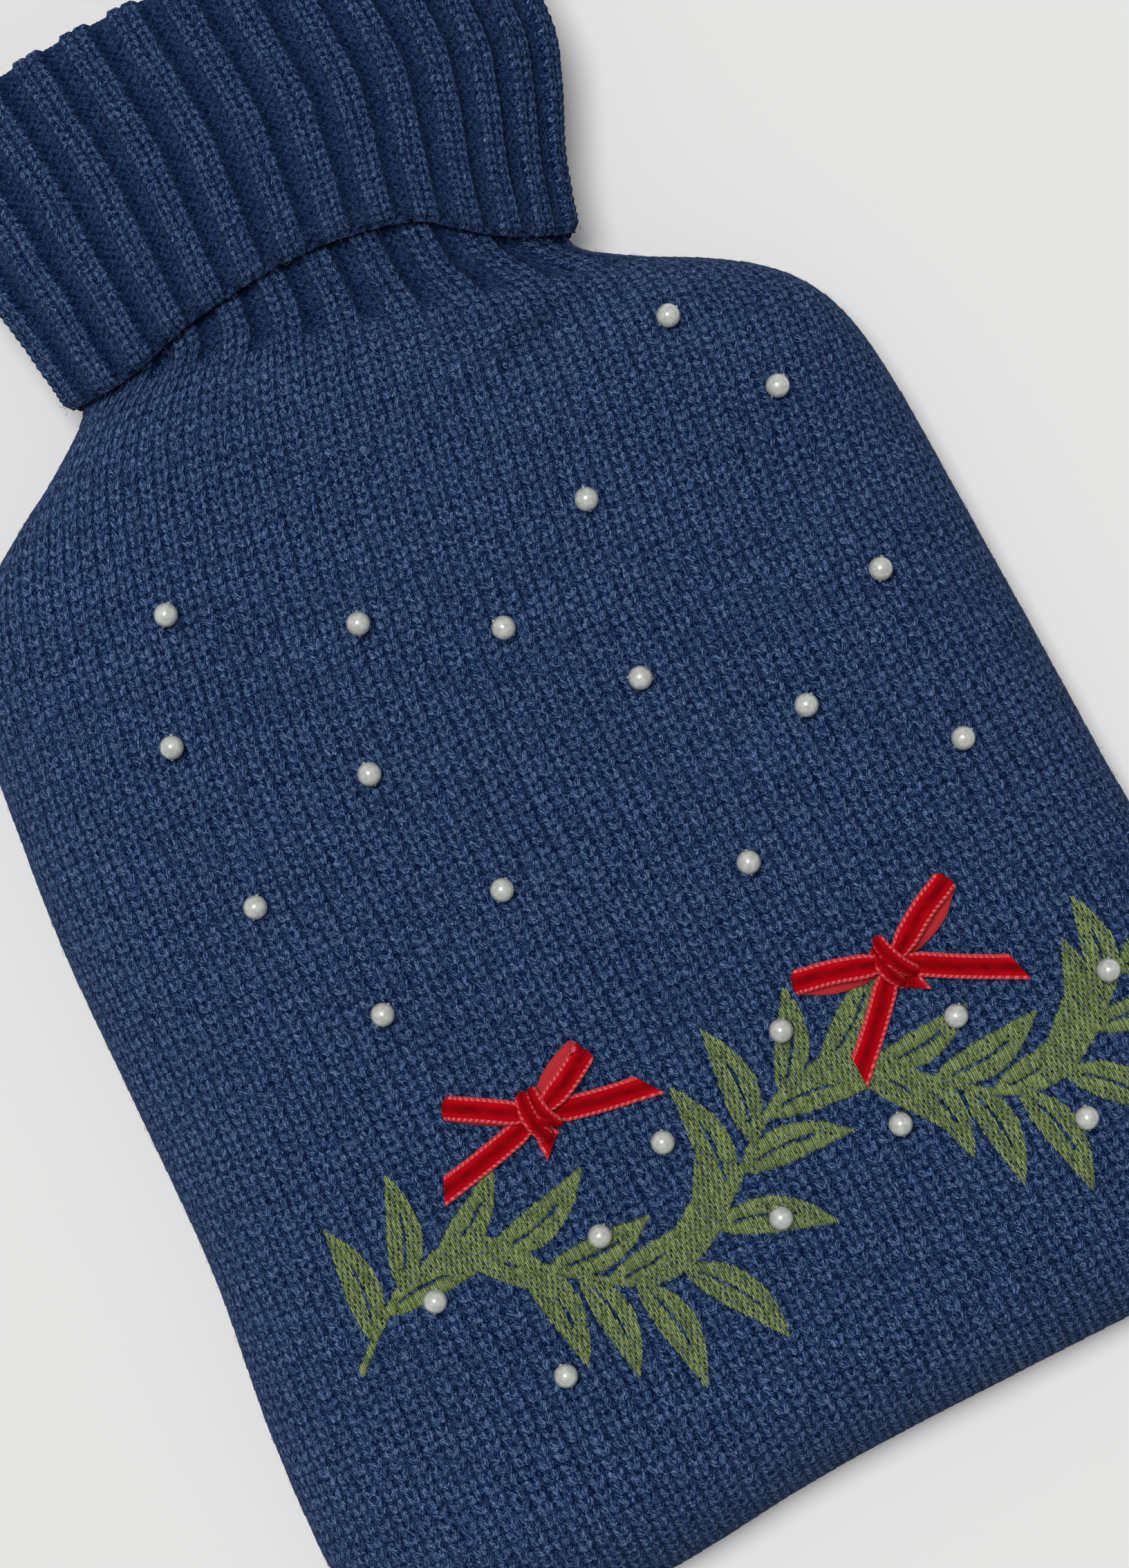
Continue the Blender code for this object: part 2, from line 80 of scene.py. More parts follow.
CREASES_FADE, CREASES_END = 279.0, 291.0    # along: the creases run out between these

# A section across the cover: where the side seams run, how high the front, the seams and the back's underside
# lie, how much a row of stitches drops to the right and at its ends, and how boxy the section is.
Section = namedtuple("Section", "along left right crown seam floor tilt arch square")
SECTIONS = [
    Section(0.0, -121.0, 119.5, 35.0, 13.0, 0.0, 0.0, 0.0, 4.2),
    Section(34.0, -121.0, 119.5, 37.0, 14.0, 0.0, 0.0, 0.0, 4.2),
    Section(64.0, -119.0, 118.0, 39.0, 15.0, 0.0, 0.0, 0.0, 4.2),
    Section(101.0, -114.3, 114.2, 40.0, 15.0, 0.0, 0.0, 0.0, 4.2),
    Section(145.0, -112.6, 112.6, 40.5, 15.0, 0.0, 0.0, 0.0, 4.2),
    Section(180.0, -111.3, 111.3, 40.0, 15.5, 0.0, 0.0, 0.0, 4.1),
    Section(210.0, -108.0, 110.0, 39.5, 16.0, 0.0, 0.01, 0.0, 3.9),
    Section(228.0, -105.5, 107.5, 38.8, 16.5, 0.0, 0.02, 0.0, 3.7),
    Section(240.0, -102.5, 103.0, 38.0, 17.0, 0.0, 0.035, 0.0, 3.4),
    Section(250.0, -94.0, 95.5, 37.3, 17.5, 0.8, 0.055, 0.0, 3.1),
    Section(259.0, -79.7, 84.0, 36.8, 18.0, 2.2, 0.08, 0.0, 2.8),
    Section(267.0, -64.8, 71.0, 36.6, 18.5, 3.6, 0.11, 0.0, 2.5),
    Section(276.0, -53.0, 60.0, 36.8, 19.0, 4.6, 0.14, 0.0, 2.4),
    Section(293.0, -53.5, 63.0, 37.6, 19.5, 4.6, 0.12, 2.0, 2.3),
    Section(314.0, -57.0, 71.8, 38.5, 20.0, 4.6, 0.10, 4.0, 2.3),
    Section(325.0, -58.3, 75.3, 38.6, 20.2, 4.6, 0.09, 5.0, 2.3),
    Section(358.0, -62.5, 75.5, 39.0, 20.5, 4.6, 0.07, 8.0, 2.3),
]

# The collar's free edge: how far up it lies, from its left seam (-1) to its right seam (1).
EdgePoint = namedtuple("EdgePoint", "across along")
COLLAR_EDGES = {
    1: [EdgePoint(-1.0, 276.5), EdgePoint(-0.7, 284.5), EdgePoint(-0.4, 288.5), EdgePoint(0.0, 291.5),
        EdgePoint(0.45, 291.5), EdgePoint(0.65, 289.5), EdgePoint(0.8, 284.5), EdgePoint(1.0, 277.5)],
    -1: [EdgePoint(-1.0, 276.5), EdgePoint(-0.5, 284.0), EdgePoint(0.5, 285.0), EdgePoint(1.0, 277.5)],
}

# A soft trough or ridge: its middle, the way it runs in degrees, its half sizes and its height.
Crease = namedtuple("Crease", "x along heading length width rise")
CREASES = [
    Crease(47.0, 254.0, 15.0, 17.0, 5.5, -4.6),
    Crease(47.0, 264.0, 24.0, 20.0, 4.0, 2.4),
    Crease(-30.0, 273.0, -12.0, 17.0, 6.0, -2.2),
    Crease(-62.0, 240.0, 55.0, 26.0, 16.0, 1.2),
    Crease(74.0, 228.0, -50.0, 30.0, 15.0, 1.2),
    Crease(5.0, 245.0, 2.0, 45.0, 9.0, -1.2),
    Crease(-60.0, 40.0, 20.0, 40.0, 16.0, -0.8),
    Crease(55.0, 60.0, -10.0, 45.0, 20.0, 0.8),
]

# ---------------------------------------------------------------- the knit
# How the body is knitted at each height: how wide and high its stitches are, and how far to the right of the
# cover's middle its middle column of stitches runs.
Gauge = namedtuple("Gauge", "along wale course middle")
GAUGES = [
    Gauge(0.0, 4.38, 2.72, 0.0),
    Gauge(60.0, 4.27, 2.66, 0.0),
    Gauge(120.0, 4.15, 2.57, 0.0),
    Gauge(190.0, 4.08, 2.48, 1.0),
    Gauge(215.0, 4.05, 2.45, 4.0),
    Gauge(240.0, 4.00, 2.38, 8.0),
    Gauge(262.0, 3.75, 2.28, 12.0),
    Gauge(271.0, 3.45, 2.20, 13.5),
    Gauge(281.0, 2.87, 2.08, 14.0),
    Gauge(300.0, 2.80, 2.05, 14.0),
]
WALES_ASIDE = 36          # columns of stitches to each side of the middle one, at most
STITCH_PLACES = np.array([0.0, 0.20, 0.375, 0.5, 0.625, 0.80])    # where the sheet's points lie in a stitch
STITCH_ASPECT = 1.65      # how many times wider a stitch is than high
LEG_ASIDE = 0.215         # from a stitch's middle to the middle of each leg of its V, in stitches
LEG_LEAN = math.radians(25.0)
LEG_HALF_WIDTH = 0.39     # in rows of stitches
LEG_HALF_LENGTH = 1.05
RIB_SWELL = 0.20          # how much wider the knit stitches of a rib are than the cloth's mean
STITCH_RELIEF = 0.56      # from the top of a leg to the gaps round it
STITCH_UNEVEN = 0.10      # how much higher some legs are than others
PURL_LOW, PURL_SWELL = 0.2, 0.7    # how high purl stitches lie, as shares of the relief
STITCH_WOBBLE = 0.18      # how far stitches stray from their place
KNIT_TOP = 297.0          # along: where the body's sheet ends, under the collar
RIB_START_UP = 272.0      # along: middle of the line where the ribs start
RIB_FULL = 5.0            # how much further up they are at their full depth
RIB_LINE_TILT = 0.094     # how much further down the ribs start for each millimetre to the right
RIB_STITCHES = 4.0        # a rib is two knit stitches wide and the trough beside it two purl ones
RIB_FLANK = (0.72, 1.32)  # where a rib rises from its trough, in stitches
RIB_GROOVE, RIB_GROOVE_WIDTH = 0.16, 0.16    # the groove between its two knit stitches
NECK_RIB_DEPTH = 2.3
COLLAR_RIB_DEPTH = 2.0
COLLAR_RIBS = 14
COLLAR_COURSES = 33       # rows of stitches from the fold to the free edge
FOLD_COURSES = 6          # round the fold
MOUTH_COURSES = 26        # inside the neck
FOLD_END = MOUTH_COURSES + FOLD_COURSES
LAST_COURSE = FOLD_END + COLLAR_COURSES
RIB_NARROWS = 0.55        # share of the way from left to right where the collar's ribs start to narrow
RIB_NARROWEST = 0.62      # width of its last rib, as a share of the others


def blend(start, end, value):
    """0 before start, 1 after end, smooth between."""
    share = np.clip((value - start) / (end - start), 0.0, 1.0)
    return share * share * (3.0 - 2.0 * share)


def read_table(rows, key, column, at):
    """Smooth curve through one column of a table, read at values of its key column."""
    keys = np.array([getattr(row, key) for row in rows])
    values = np.array([getattr(row, column) for row in rows])
    at = np.clip(np.asarray(at, float), keys[0], keys[-1])
    before = np.maximum(np.arange(len(keys)) - 1, 0)
    after = np.minimum(np.arange(len(keys)) + 1, len(keys) - 1)
    slopes = (values[after] - values[before]) / (keys[after] - keys[before])
    here = np.clip(np.searchsorted(keys, at) - 1, 0, len(keys) - 2)
    span = keys[here + 1] - keys[here]
    t = (at - keys[here]) / span
    return ((2 * t**3 - 3 * t**2 + 1) * values[here] + (t**3 - 2 * t**2 + t) * slopes[here] * span
            + (3 * t**2 - 2 * t**3) * values[here + 1] + (t**3 - t**2) * slopes[here + 1] * span)


def walk(points):
    """The distance walked from the first point of a line to each of its points."""
    steps = np.linalg.norm(np.diff(points, axis=-2), axis=-1)
    return np.concatenate([np.zeros((*steps.shape[:-1], 1)), np.cumsum(steps, axis=-1)], axis=-1)


def unit(vectors, otherwise=(1.0, 0.0, 0.0), least=1e-9):
    """Vectors of length 1 in the same directions, or another one where a vector has no length."""
    lengths = np.linalg.norm(vectors, axis=-1, keepdims=True)
    return np.where(lengths > least, vectors / np.maximum(lengths, least), otherwise)


def roll_share(distance, radius):
    """How high an edge of this radius has risen at a distance from its end, from 0 to 1."""
    short = max(0.0, 1.0 - max(0.0, distance) / radius)
    return math.sqrt(1.0 - short * short)


def crease_height(x, along):
    """How far the creases raise the front."""
    total = np.zeros_like(x)
    for crease in CREASES:
        heading = math.radians(crease.heading)
        dx, dy = x - crease.x, along - crease.along
        run = dx * math.cos(heading) + dy * math.sin(heading)
        side = dy * math.cos(heading) - dx * math.sin(heading)
        total += crease.rise * np.exp(-((run / crease.length) ** 2) - (side / crease.width) ** 2)
    return total


class Surface:
    """The outer face of one half of the cover. "up" is the distance walked up it from its bottom seam."""

    STEP = 1.0
    SHARES = np.linspace(0.0, 1.0, 301)
    OUTLINE_STEPS = 480
    ROLL_LENGTH = BOTTOM_ROLL * math.pi / 2

    def __init__(self, side):
        self.side = side
        self.ups = np.arange(0.0, self.up_of(COVER_TOP), self.STEP)
        rows = [self.make_row(up) for up in self.ups]
        self.points = np.array([points for points, _, _ in rows])
        self.lengths = np.array([length for _, length, _ in rows])
        self.centres = np.array([centre for _, _, centre in rows])
        normals = np.cross(np.gradient(self.points, axis=1), np.gradient(self.points, axis=0))
        self.normals = unit(normals, otherwise=(0.0, -1.0, 0.0)) * side

    @classmethod
    def along_of(cls, up):
        """How far up the cover a distance walked up the surface lies. up_of turns it round."""
        up = np.asarray(up, float)
        rolled = BOTTOM_ROLL * (1.0 - np.cos(np.minimum(up, cls.ROLL_LENGTH) / BOTTOM_ROLL))
        return rolled + np.maximum(0.0, up - cls.ROLL_LENGTH)

    @classmethod
    def up_of(cls, along):
        along = np.asarray(along, float)
        rolled = BOTTOM_ROLL * np.arccos(1.0 - np.clip(along, 0.0, BOTTOM_ROLL) / BOTTOM_ROLL)
        return rolled + np.maximum(0.0, along - BOTTOM_ROLL)

    def make_row(self, up):
        """Points across the cover, the row's length, and its share at the cover's centre line."""
        along = float(self.along_of(up))
        place = Section(along, *[float(read_table(SECTIONS, "along", name, along))
                                 for name in Section._fields[1:]])
        corner = CORNER_RADIUS * (1.0 - roll_share(along, CORNER_RADIUS))
        rise = roll_share(along, BOTTOM_ROLL)
        centre = (place.left + place.right) / 2
        full_half = (place.right - place.left) / 2
        angle = np.linspace(math.pi, 0.0, self.OUTLINE_STEPS + 1)
        square = place.square if self.side > 0 else place.square + BACK_SQUARER
        height = place.crown - place.seam if self.side > 0 else place.seam - place.floor + FLATTENED
        reach = np.copysign(np.abs(np.cos(angle)) ** (2.0 / square), np.cos(angle))
        x = centre + (full_half - corner) * reach
        z = place.seam + self.side * (SEAM_GAP / 2 + height * rise * np.sin(angle))
        if self.side < 0:
            lowest = max(0.0, place.floor) * rise + (place.seam - SEAM_GAP / 2) * (1.0 - rise)
            z = np.maximum(z, lowest)
        walked = walk(np.stack([x, z], axis=1))
        share = walked / walked[-1]
        x_at, z_at = np.interp(self.SHARES, share, x), np.interp(self.SHARES, share, z)
        across = (x_at - centre) / full_half
        if self.side > 0:
            fade = 1.0 - blend(CREASES_FADE, CREASES_END, along)
            z_at += crease_height(x_at, along) * np.sqrt(np.sin(np.pi * self.SHARES)) * rise * fade
        y = along - place.tilt * (x_at - centre) - place.arch * across**2
        bulge = BULGE_DROP * np.exp(-(((x_at - BULGE_X) / BULGE_WIDTH) ** 2))
        y -= bulge * (1.0 - blend(0.0, BULGE_REACH, along))
        middle = float(np.interp(0.0, x_at, self.SHARES))
        return np.stack([x_at, y, z_at], axis=1), walked[-1], middle

    def sample(self, share, up, lift=0.0):
        """Points at a share of the way across and a distance up, raised off the surface by lift."""
        row = np.clip(np.asarray(up, float) / self.STEP, 0.0, len(self.ups) - 1.001)
        column = np.clip(np.asarray(share, float), 0.0, 1.0) * (len(self.SHARES) - 1.001)
        r, c = row.astype(int), column.astype(int)
        fr, fc = (row - r)[..., None], (column - c)[..., None]

        def mix(grid):
            low = grid[r, c] * (1 - fc) + grid[r, c + 1] * fc
            high = grid[r + 1, c] * (1 - fc) + grid[r + 1, c + 1] * fc
            return low * (1 - fr) + high * fr
        return mix(self.points) + mix(self.normals) * np.asarray(lift, float)[..., None]

    def share_of(self, t, up):
        """The share across that lies a distance t to the right of the centre line."""
        length = np.interp(up, self.ups, self.lengths)
        return np.interp(up, self.ups, self.centres) + np.asarray(t, float) / length

    def over(self, x, along, lift=0.0):
        """Points of the surface seen from above at x, along."""
        x, along = np.broadcast_arrays(np.asarray(x, float), np.asarray(along, float))
        up = self.up_of(along)
        rows = np.clip((up / self.STEP).astype(int), 0, len(self.ups) - 2)
        share = np.empty(x.shape)
        flat = share.reshape(-1)
        for i, (r, value) in enumerate(zip(rows.reshape(-1), x.reshape(-1))):
            flat[i] = np.interp(value, self.points[r, :, 0], self.SHARES)
        return self.sample(share, up, np.broadcast_to(lift, x.shape))


# ---------------------------------------------------------------- meshes
def make_mesh(name, points, faces, material, places=None, **marks):
    """A smooth piece from points in the cover's measure, with places and marks that its material reads."""
    data = bpy.data.meshes.new(name)
    data.from_pydata(((np.asarray(points) + TO_FRAME) * MM).tolist(), [], faces)
    data.validate()
    if places is not None:
        corners = np.zeros(len(data.loops), np.int64)
        data.loops.foreach_get("vertex_index", corners)
        layer = data.uv_layers.new(name="stitch")
        layer.data.foreach_set("uv", np.asarray(places, np.float32)[corners].reshape(-1))
    for word, values in marks.items():
        attribute = data.attributes.new(word, "FLOAT", "POINT")
        attribute.data.foreach_set("value", np.asarray(values, np.float32))
    data.materials.append(material)
    data.shade_smooth()
    piece = bpy.data.objects.new(name, data)
    bpy.context.scene.collection.objects.link(piece)
    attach(piece, "root")
    return piece


def face_outwards(piece):
    """Turns the faces of closed surfaces outwards."""
    mesh = bmesh.new()
    mesh.from_mesh(piece.data)
    bmesh.ops.recalc_face_normals(mesh, faces=mesh.faces)
    mesh.to_mesh(piece.data)
    mesh.free()


def grid_faces(ids):
    """Faces between the rows of an array of vertex numbers, where neighbours may be the same vertex."""
    a, b, c, d = ids[:-1, :-1], ids[:-1, 1:], ids[1:, 1:], ids[1:, :-1]
    quads = np.stack([a, b, c, d], axis=-1).reshape(-1, 4)
    same = quads == np.roll(quads, -1, axis=1)
    whole = quads[~same.any(axis=1)]
    three = same.sum(axis=1) == 1
    triangles = quads[three][~same[three]].reshape(-1, 3)
    return whole.tolist() + triangles.tolist()


def tube_faces(ids):
    """Faces of a tube with closed ends, from the vertex numbers of its rings."""
    around = np.concatenate([ids, ids[:, :1]], axis=1)
    return grid_faces(around) + [ids[0].tolist(), ids[-1, ::-1].tolist()]


def zip_strip(first, second, first_marks, second_marks):
    """Triangles between two lines of vertices, walking up both by their marks."""
    faces = []
    i = j = 0
    while i < len(first) - 1 or j < len(second) - 1:
        next_first = first_marks[i + 1] if i < len(first) - 1 else math.inf
        next_second = second_marks[j + 1] if j < len(second) - 1 else math.inf
        if next_first <= next_second:
            if first[i] != first[i + 1]:
                faces.append((int(first[i]), int(second[j]), int(first[i + 1])))
            i += 1
        else:
            if second[j] != second[j + 1]:
                faces.append((int(first[i]), int(second[j]), int(second[j + 1])))
            j += 1
    return faces


def hash_noise(*keys):
    """A steady random number from 0 to 1 for each set of whole numbers."""
    total = np.zeros(np.broadcast(*keys).shape)
    for key, factor in zip(keys, (12.9898, 78.233, 37.719)):
        total = total + np.floor(np.asarray(key, float)) * factor
    return np.modf(np.abs(np.sin(total) * 43758.5453))[0]


def soft_noise(x, y, seed):
    """Smooth random numbers from -0.5 to 0.5, one for each whole x and y and blended between them."""
    column, row = np.floor(x), np.floor(y)
    fx, fy = blend(0.0, 1.0, x - column), blend(0.0, 1.0, y - row)
    low = hash_noise(column, row, seed) * (1 - fx) + hash_noise(column + 1, row, seed) * fx
    high = hash_noise(column, row + 1, seed) * (1 - fx) + hash_noise(column + 1, row + 1, seed) * fx
    return low * (1 - fy) + high * fy - 0.5


# ---------------------------------------------------------------- stitches
def leg_height(u, v):
    """Height of a plain stitch's two legs, 1 at their tops, where each is a leaning oval."""
    out = (np.abs(u - np.floor(u) - 0.5) - LEG_ASIDE) * STITCH_ASPECT
    up = v - np.round(v + out * math.tan(LEG_LEAN))
    run = out * math.sin(LEG_LEAN) + up * math.cos(LEG_LEAN)
    side = out * math.cos(LEG_LEAN) - up * math.sin(LEG_LEAN)
    return np.sqrt(np.maximum(0.0, 1.0 - (side / LEG_HALF_WIDTH) ** 2 - (run / LEG_HALF_LENGTH) ** 2))


def stitch_relief(u, v, purl):
    """Height of the stitches over the cloth, 0 at the top of a leg."""
    bumps = 0.5 - 0.5 * np.cos(2 * np.pi * u) * np.cos(2 * np.pi * v)
    height = leg_height(u, v) * (1 - purl) + (PURL_LOW + PURL_SWELL * bumps) * purl
    uneven = STITCH_UNEVEN * (hash_noise(u * 2, v + 0.5, 3.0) - 0.5)
    return STITCH_RELIEF * (height - 1.0) + uneven * height


def rib_wave(u):
    """1 on the two knit stitches of a rib, less in the groove between them, and 0 on its two purl ones."""
    place = np.mod(u, RIB_STITCHES)
    wave = blend(*RIB_FLANK, place) * blend(*RIB_FLANK, RIB_STITCHES - place)
    return wave - RIB_GROOVE * np.exp(-(((place - RIB_STITCHES / 2) / RIB_GROOVE_WIDTH) ** 2))


def rib_swell(u):
    """How far stitches move aside where a rib's knit ones swell and its purl ones are squeezed."""
    return RIB_SWELL * (np.abs(np.mod(u - 3.0, RIB_STITCHES) - 2.0) - 1.0)


def purl_share(u):
    """1 on purl stitches, 0 on knit ones."""
    place = np.mod(np.floor(u), RIB_STITCHES)
    return ((place < 1) | (place >= 3)).astype(float)


def strayed(u, row, seed_above, seed_beside):
    """How far stitches stray above and beside their places, in rows and columns of stitches."""
    u, row = np.broadcast_arrays(u, row)
    above = STITCH_WOBBLE * soft_noise(u * 0.8, row * 0.37, seed_above)
    beside = STITCH_WOBBLE * 0.5 * soft_noise(u * 0.7, row * 0.31, seed_beside)
    return above, beside


# ---------------------------------------------------------------- knitted sheets
FADE_ROWS = 6             # half rows over which the straying of stitches dies out at a sheet's ends
FADE_SIDE = 5.0           # millimetres over which it dies out at a sheet's sides
FADE_POINTS = 9           # points over which it dies out at the collar's sides
SIDE_MARGIN = 0.3         # how far from the body's sides its columns of points end
SIDE_RELIEF = 0.3         # share of their relief that stitches keep at the sides
INNER_ROWS, INNER_COLUMNS = 90, 76    # points up and across the body's inner face
THICKENS_FROM, THICKENS_TO = 15.0, 4.0    # below where the ribs start: its cloth gets thicker between these
EDGE_WAVES = 1.1          # how far the collar's free edge draws back between its ribs
EDGE_RAGGED = 0.5         # by how much that differs from one pair of stitches to the next
EDGE_COURSES = 3.0        # over how many rows of stitches that edge is rounded
EDGE_ROUNDING = 2.9
EDGE_RIBS_FLATTER = 0.5   # share of the ribs' depth lost at that edge
EDGE_FLARE = 1.3          # how far the front collar stands off at its free edge, while the back one lies flat
MOUTH_RIBS = 0.55         # share of their depth that the ribs have inside the neck
FOLD_FLATTER = 0.4        # share of the ribs' depth lost where the collar is folded
COLLAR_STITCHES = 4 * COLLAR_RIBS    # four to each rib and its trough
COLLAR_INNER_ROWS = (8, 5, 9)    # points on its inner face inside the neck, round the fold and below it
COLLAR_INNER_COLUMNS = 29


def row_fade(row, last):
    """1 in a sheet's middle, 0 at its first and last row."""
    return np.clip(row / FADE_ROWS, 0, 1) * np.clip((last - row) / FADE_ROWS, 0, 1)


def close_sheet(name, material, faces, outer, edges, inner_points, inner_stitch, inner_up, inner_across):
    """A piece from a sheet's outer face, the grid of its inner face and the rim between them.

    Outer is its points, stitches, purls and ribs. Edges are (vertex numbers, marks), in the order bottom,
    top, left and right. The inner face's marks are given up and across it.
    """
    count = inner_across.size * inner_up.size
    ids = len(outer[0]) + np.arange(count).reshape(inner_up.size, inner_across.size)
    faces += grid_faces(ids[:, ::-1])
    inner_ends = [(ids[0], inner_across), (ids[-1], inner_across)]
    inner_sides = [(ids[:, 0], inner_up), (ids[:, -1], inner_up)]
    for (edge, marks), (inner_edge, inner_marks) in zip(edges, inner_ends + inner_sides):
        faces += zip_strip(edge, inner_edge, marks, inner_marks)
    inner = (inner_points.reshape(-1, 3), inner_stitch.reshape(-1, 2), np.ones(count), np.ones(count))
    points, stitch, purl, ribbed = [np.concatenate(pair) for pair in zip(outer, inner)]
    piece = make_mesh(name, points, faces, material, stitch, purl=purl, ribbed=ribbed)
    face_outwards(piece)
    return piece


def course_starts(surface):
    """How far up the body each of its rows of stitches starts."""
    top = float(surface.up_of(KNIT_TOP))
    starts = [0.0]
    while starts[-1] < top:
        starts.append(starts[-1] + float(read_table(GAUGES, "along", "course", surface.along_of(starts[-1]))))
    return np.array(starts) * top / starts[-1]


def body_sheet(name, surface, material):
    """The body of one half, plain knit that turns into ribs at the neck, as a closed thin sheet."""
    starts = course_starts(surface)
    numbers = np.arange(len(starts))
    rows = 2 * int(numbers[-1])
    wales = read_table(GAUGES, "along", "wale", surface.along_of(surface.ups))
    middles = read_table(GAUGES, "along", "middle", surface.along_of(surface.ups))
    u = (np.arange(2 * WALES_ASIDE)[:, None] + STITCH_PLACES).reshape(-1)
    ids = np.zeros((rows + 1, len(u)), np.int64)
    outer, left, right = [], [], []
    count = 0
    for row in range(rows + 1):
        up = np.interp(row / 2, numbers, starts)
        length, centre, wale, middle = [np.interp(up, surface.ups, values)
                                        for values in (surface.lengths, surface.centres, wales, middles)]
        low, high = -centre * length, (1 - centre) * length
        t = middle + (u - WALES_ASIDE) * wale
        inside = np.nonzero((t > low + SIDE_MARGIN) & (t < high - SIDE_MARGIN))[0]
        here_t = np.concatenate([[low], t[inside], [high]])
        ends = (np.array([low, high]) - middle) / wale + WALES_ASIDE
        here_u = np.concatenate([ends[:1], u[inside], ends[1:]])
        ribbed = blend(0.0, RIB_FULL, surface.along_of(up) - (RIB_START_UP - RIB_LINE_TILT * here_t))
        purl = ribbed * purl_share(here_u)
        side_fade = blend(0.0, FADE_SIDE, np.minimum(here_t - low, high - here_t))
        above, beside = strayed(here_u, row, 11.0, 23.0)
        loosened = side_fade * row_fade(row, rows)
        here_up = np.interp(row / 2 + above * loosened, numbers, starts)
        v = np.full(len(here_u), row / 2)
        relief = stitch_relief(here_u, v, purl) * (SIDE_RELIEF + (1 - SIDE_RELIEF) * side_fade)
        lift = relief + NECK_RIB_DEPTH * ribbed * side_fade * (rib_wave(here_u) - 1.0)
        places = (here_t - middle) / wale + rib_swell(here_u) * ribbed * side_fade
        gathered = places * np.interp(here_up, surface.ups, wales)
        moved = np.interp(here_up, surface.ups, middles) + gathered + wale * beside * loosened
        share = surface.share_of(moved, here_up)
        share[0], share[-1] = 0.0, 1.0
        outer.append((surface.sample(share, here_up, lift), np.stack([here_u, v], axis=1), purl, ribbed))
        ids[row] = count + np.searchsorted(inside, np.arange(len(u)), side="right")
        ids[row, t >= high - SIDE_MARGIN] = count + 1 + len(inside)
        left.append(count)
        right.append(count + 1 + len(inside))
        count += len(here_t)
    ups = np.interp(np.arange(rows + 1) / 2, numbers, starts)
    rims = [np.arange(left[row], right[row] + 1) for row in (0, -1)]
    edges = [(rim, np.linspace(0, 1, len(rim))) for rim in rims] + [(left, ups), (right, ups)]
    inner_up = np.linspace(0.0, starts[-1], INNER_ROWS)
    inner_across = np.linspace(0.0, 1.0, INNER_COLUMNS)
    up, share = np.meshgrid(inner_up, inner_across, indexing="ij")
    near_ribs = blend(RIB_START_UP - THICKENS_FROM, RIB_START_UP - THICKENS_TO, surface.along_of(up))
    inner_points = surface.sample(share, up, -BODY_THICKNESS - RIBS_DEEPER * near_ribs)
    inner_stitch = np.stack([share * 2 * WALES_ASIDE, np.interp(up, starts, numbers)], axis=-1)
    outer = [np.concatenate(values) for values in zip(*outer)]
    return close_sheet(name, material, grid_faces(ids), outer, edges, inner_points, inner_stitch, inner_up,
                       inner_across)


def rib_place(t):
    """Where a share of the stitches lies across the collar: its ribs narrow towards the right."""
    def passed(share):
        narrowing = (1.0 - RIB_NARROWEST) / (1.0 - RIB_NARROWS)
        return share - narrowing * np.maximum(0.0, share - RIB_NARROWS) ** 2 / 2
    return passed(np.asarray(t, float)) / passed(1.0)


def collar_point(surface, share, course, relief, draw_back=0.0, coarse=False):
    """A point of the collar's sheet, by the row of stitches counted from inside the neck.

    The fine face looks into the neck, goes over the fold and then looks outwards. The coarse one lies behind.
    """
    share, course, relief, draw_back = np.broadcast_arrays(share, course, relief, draw_back)
    inner = COLLAR_GAP / 2 if coarse else COLLAR_GAP / 2 + RIB_THICKNESS
    radius = inner + relief
    angle = np.pi * np.clip((course - MOUTH_COURSES) / FOLD_COURSES, 0.0, 1.0)
    rising = np.clip(course / MOUTH_COURSES, 0.0, 1.0)
    falling = np.clip((course - FOLD_END) / COLLAR_COURSES, 0.0, 1.0)
    free = read_table(COLLAR_EDGES[surface.side], "across", "along", -np.cos(np.pi * share))
    along = KNIT_TOP + (FOLD_LINE - KNIT_TOP) * rising + (free - FOLD_LINE) * falling
    along = along + radius * np.sin(angle) + draw_back * falling**3
    flare = EDGE_FLARE if surface.side > 0 else 0.0
    lift = COLLAR_GAP / 2 - radius * np.cos(angle) + flare * falling**4
    return surface.sample(share, surface.up_of(along), lift)


def collar_relief(u, course, purl, row):
    """How far the collar's stitches and ribs stand off its cloth, and how far its free edge draws back."""
    wave = rib_wave(u)
    shown = blend(MOUTH_COURSES - 4, MOUTH_COURSES + 3, course)
    turned = blend(MOUTH_COURSES - 2, MOUTH_COURSES + 1, course) * (1 - blend(FOLD_END, FOLD_END + 5, course))
    depth = COLLAR_RIB_DEPTH * (MOUTH_RIBS + (1 - MOUTH_RIBS) * shown) * (1.0 - FOLD_FLATTER * turned)
    edge = np.clip((course - LAST_COURSE) / EDGE_COURSES + 1.0, 0.0, 1.0)
    relief = stitch_relief(u, row / 2, purl) + depth * (wave - 1.0) * (1 - EDGE_RIBS_FLATTER * edge)
    relief -= EDGE_ROUNDING * (1.0 - np.sqrt(1.0 - edge**2))
    draw_back = EDGE_WAVES * (1.0 - wave) + EDGE_RAGGED * (hash_noise(u / 2, 5.0, 1.0) - 0.5)
    return relief, draw_back


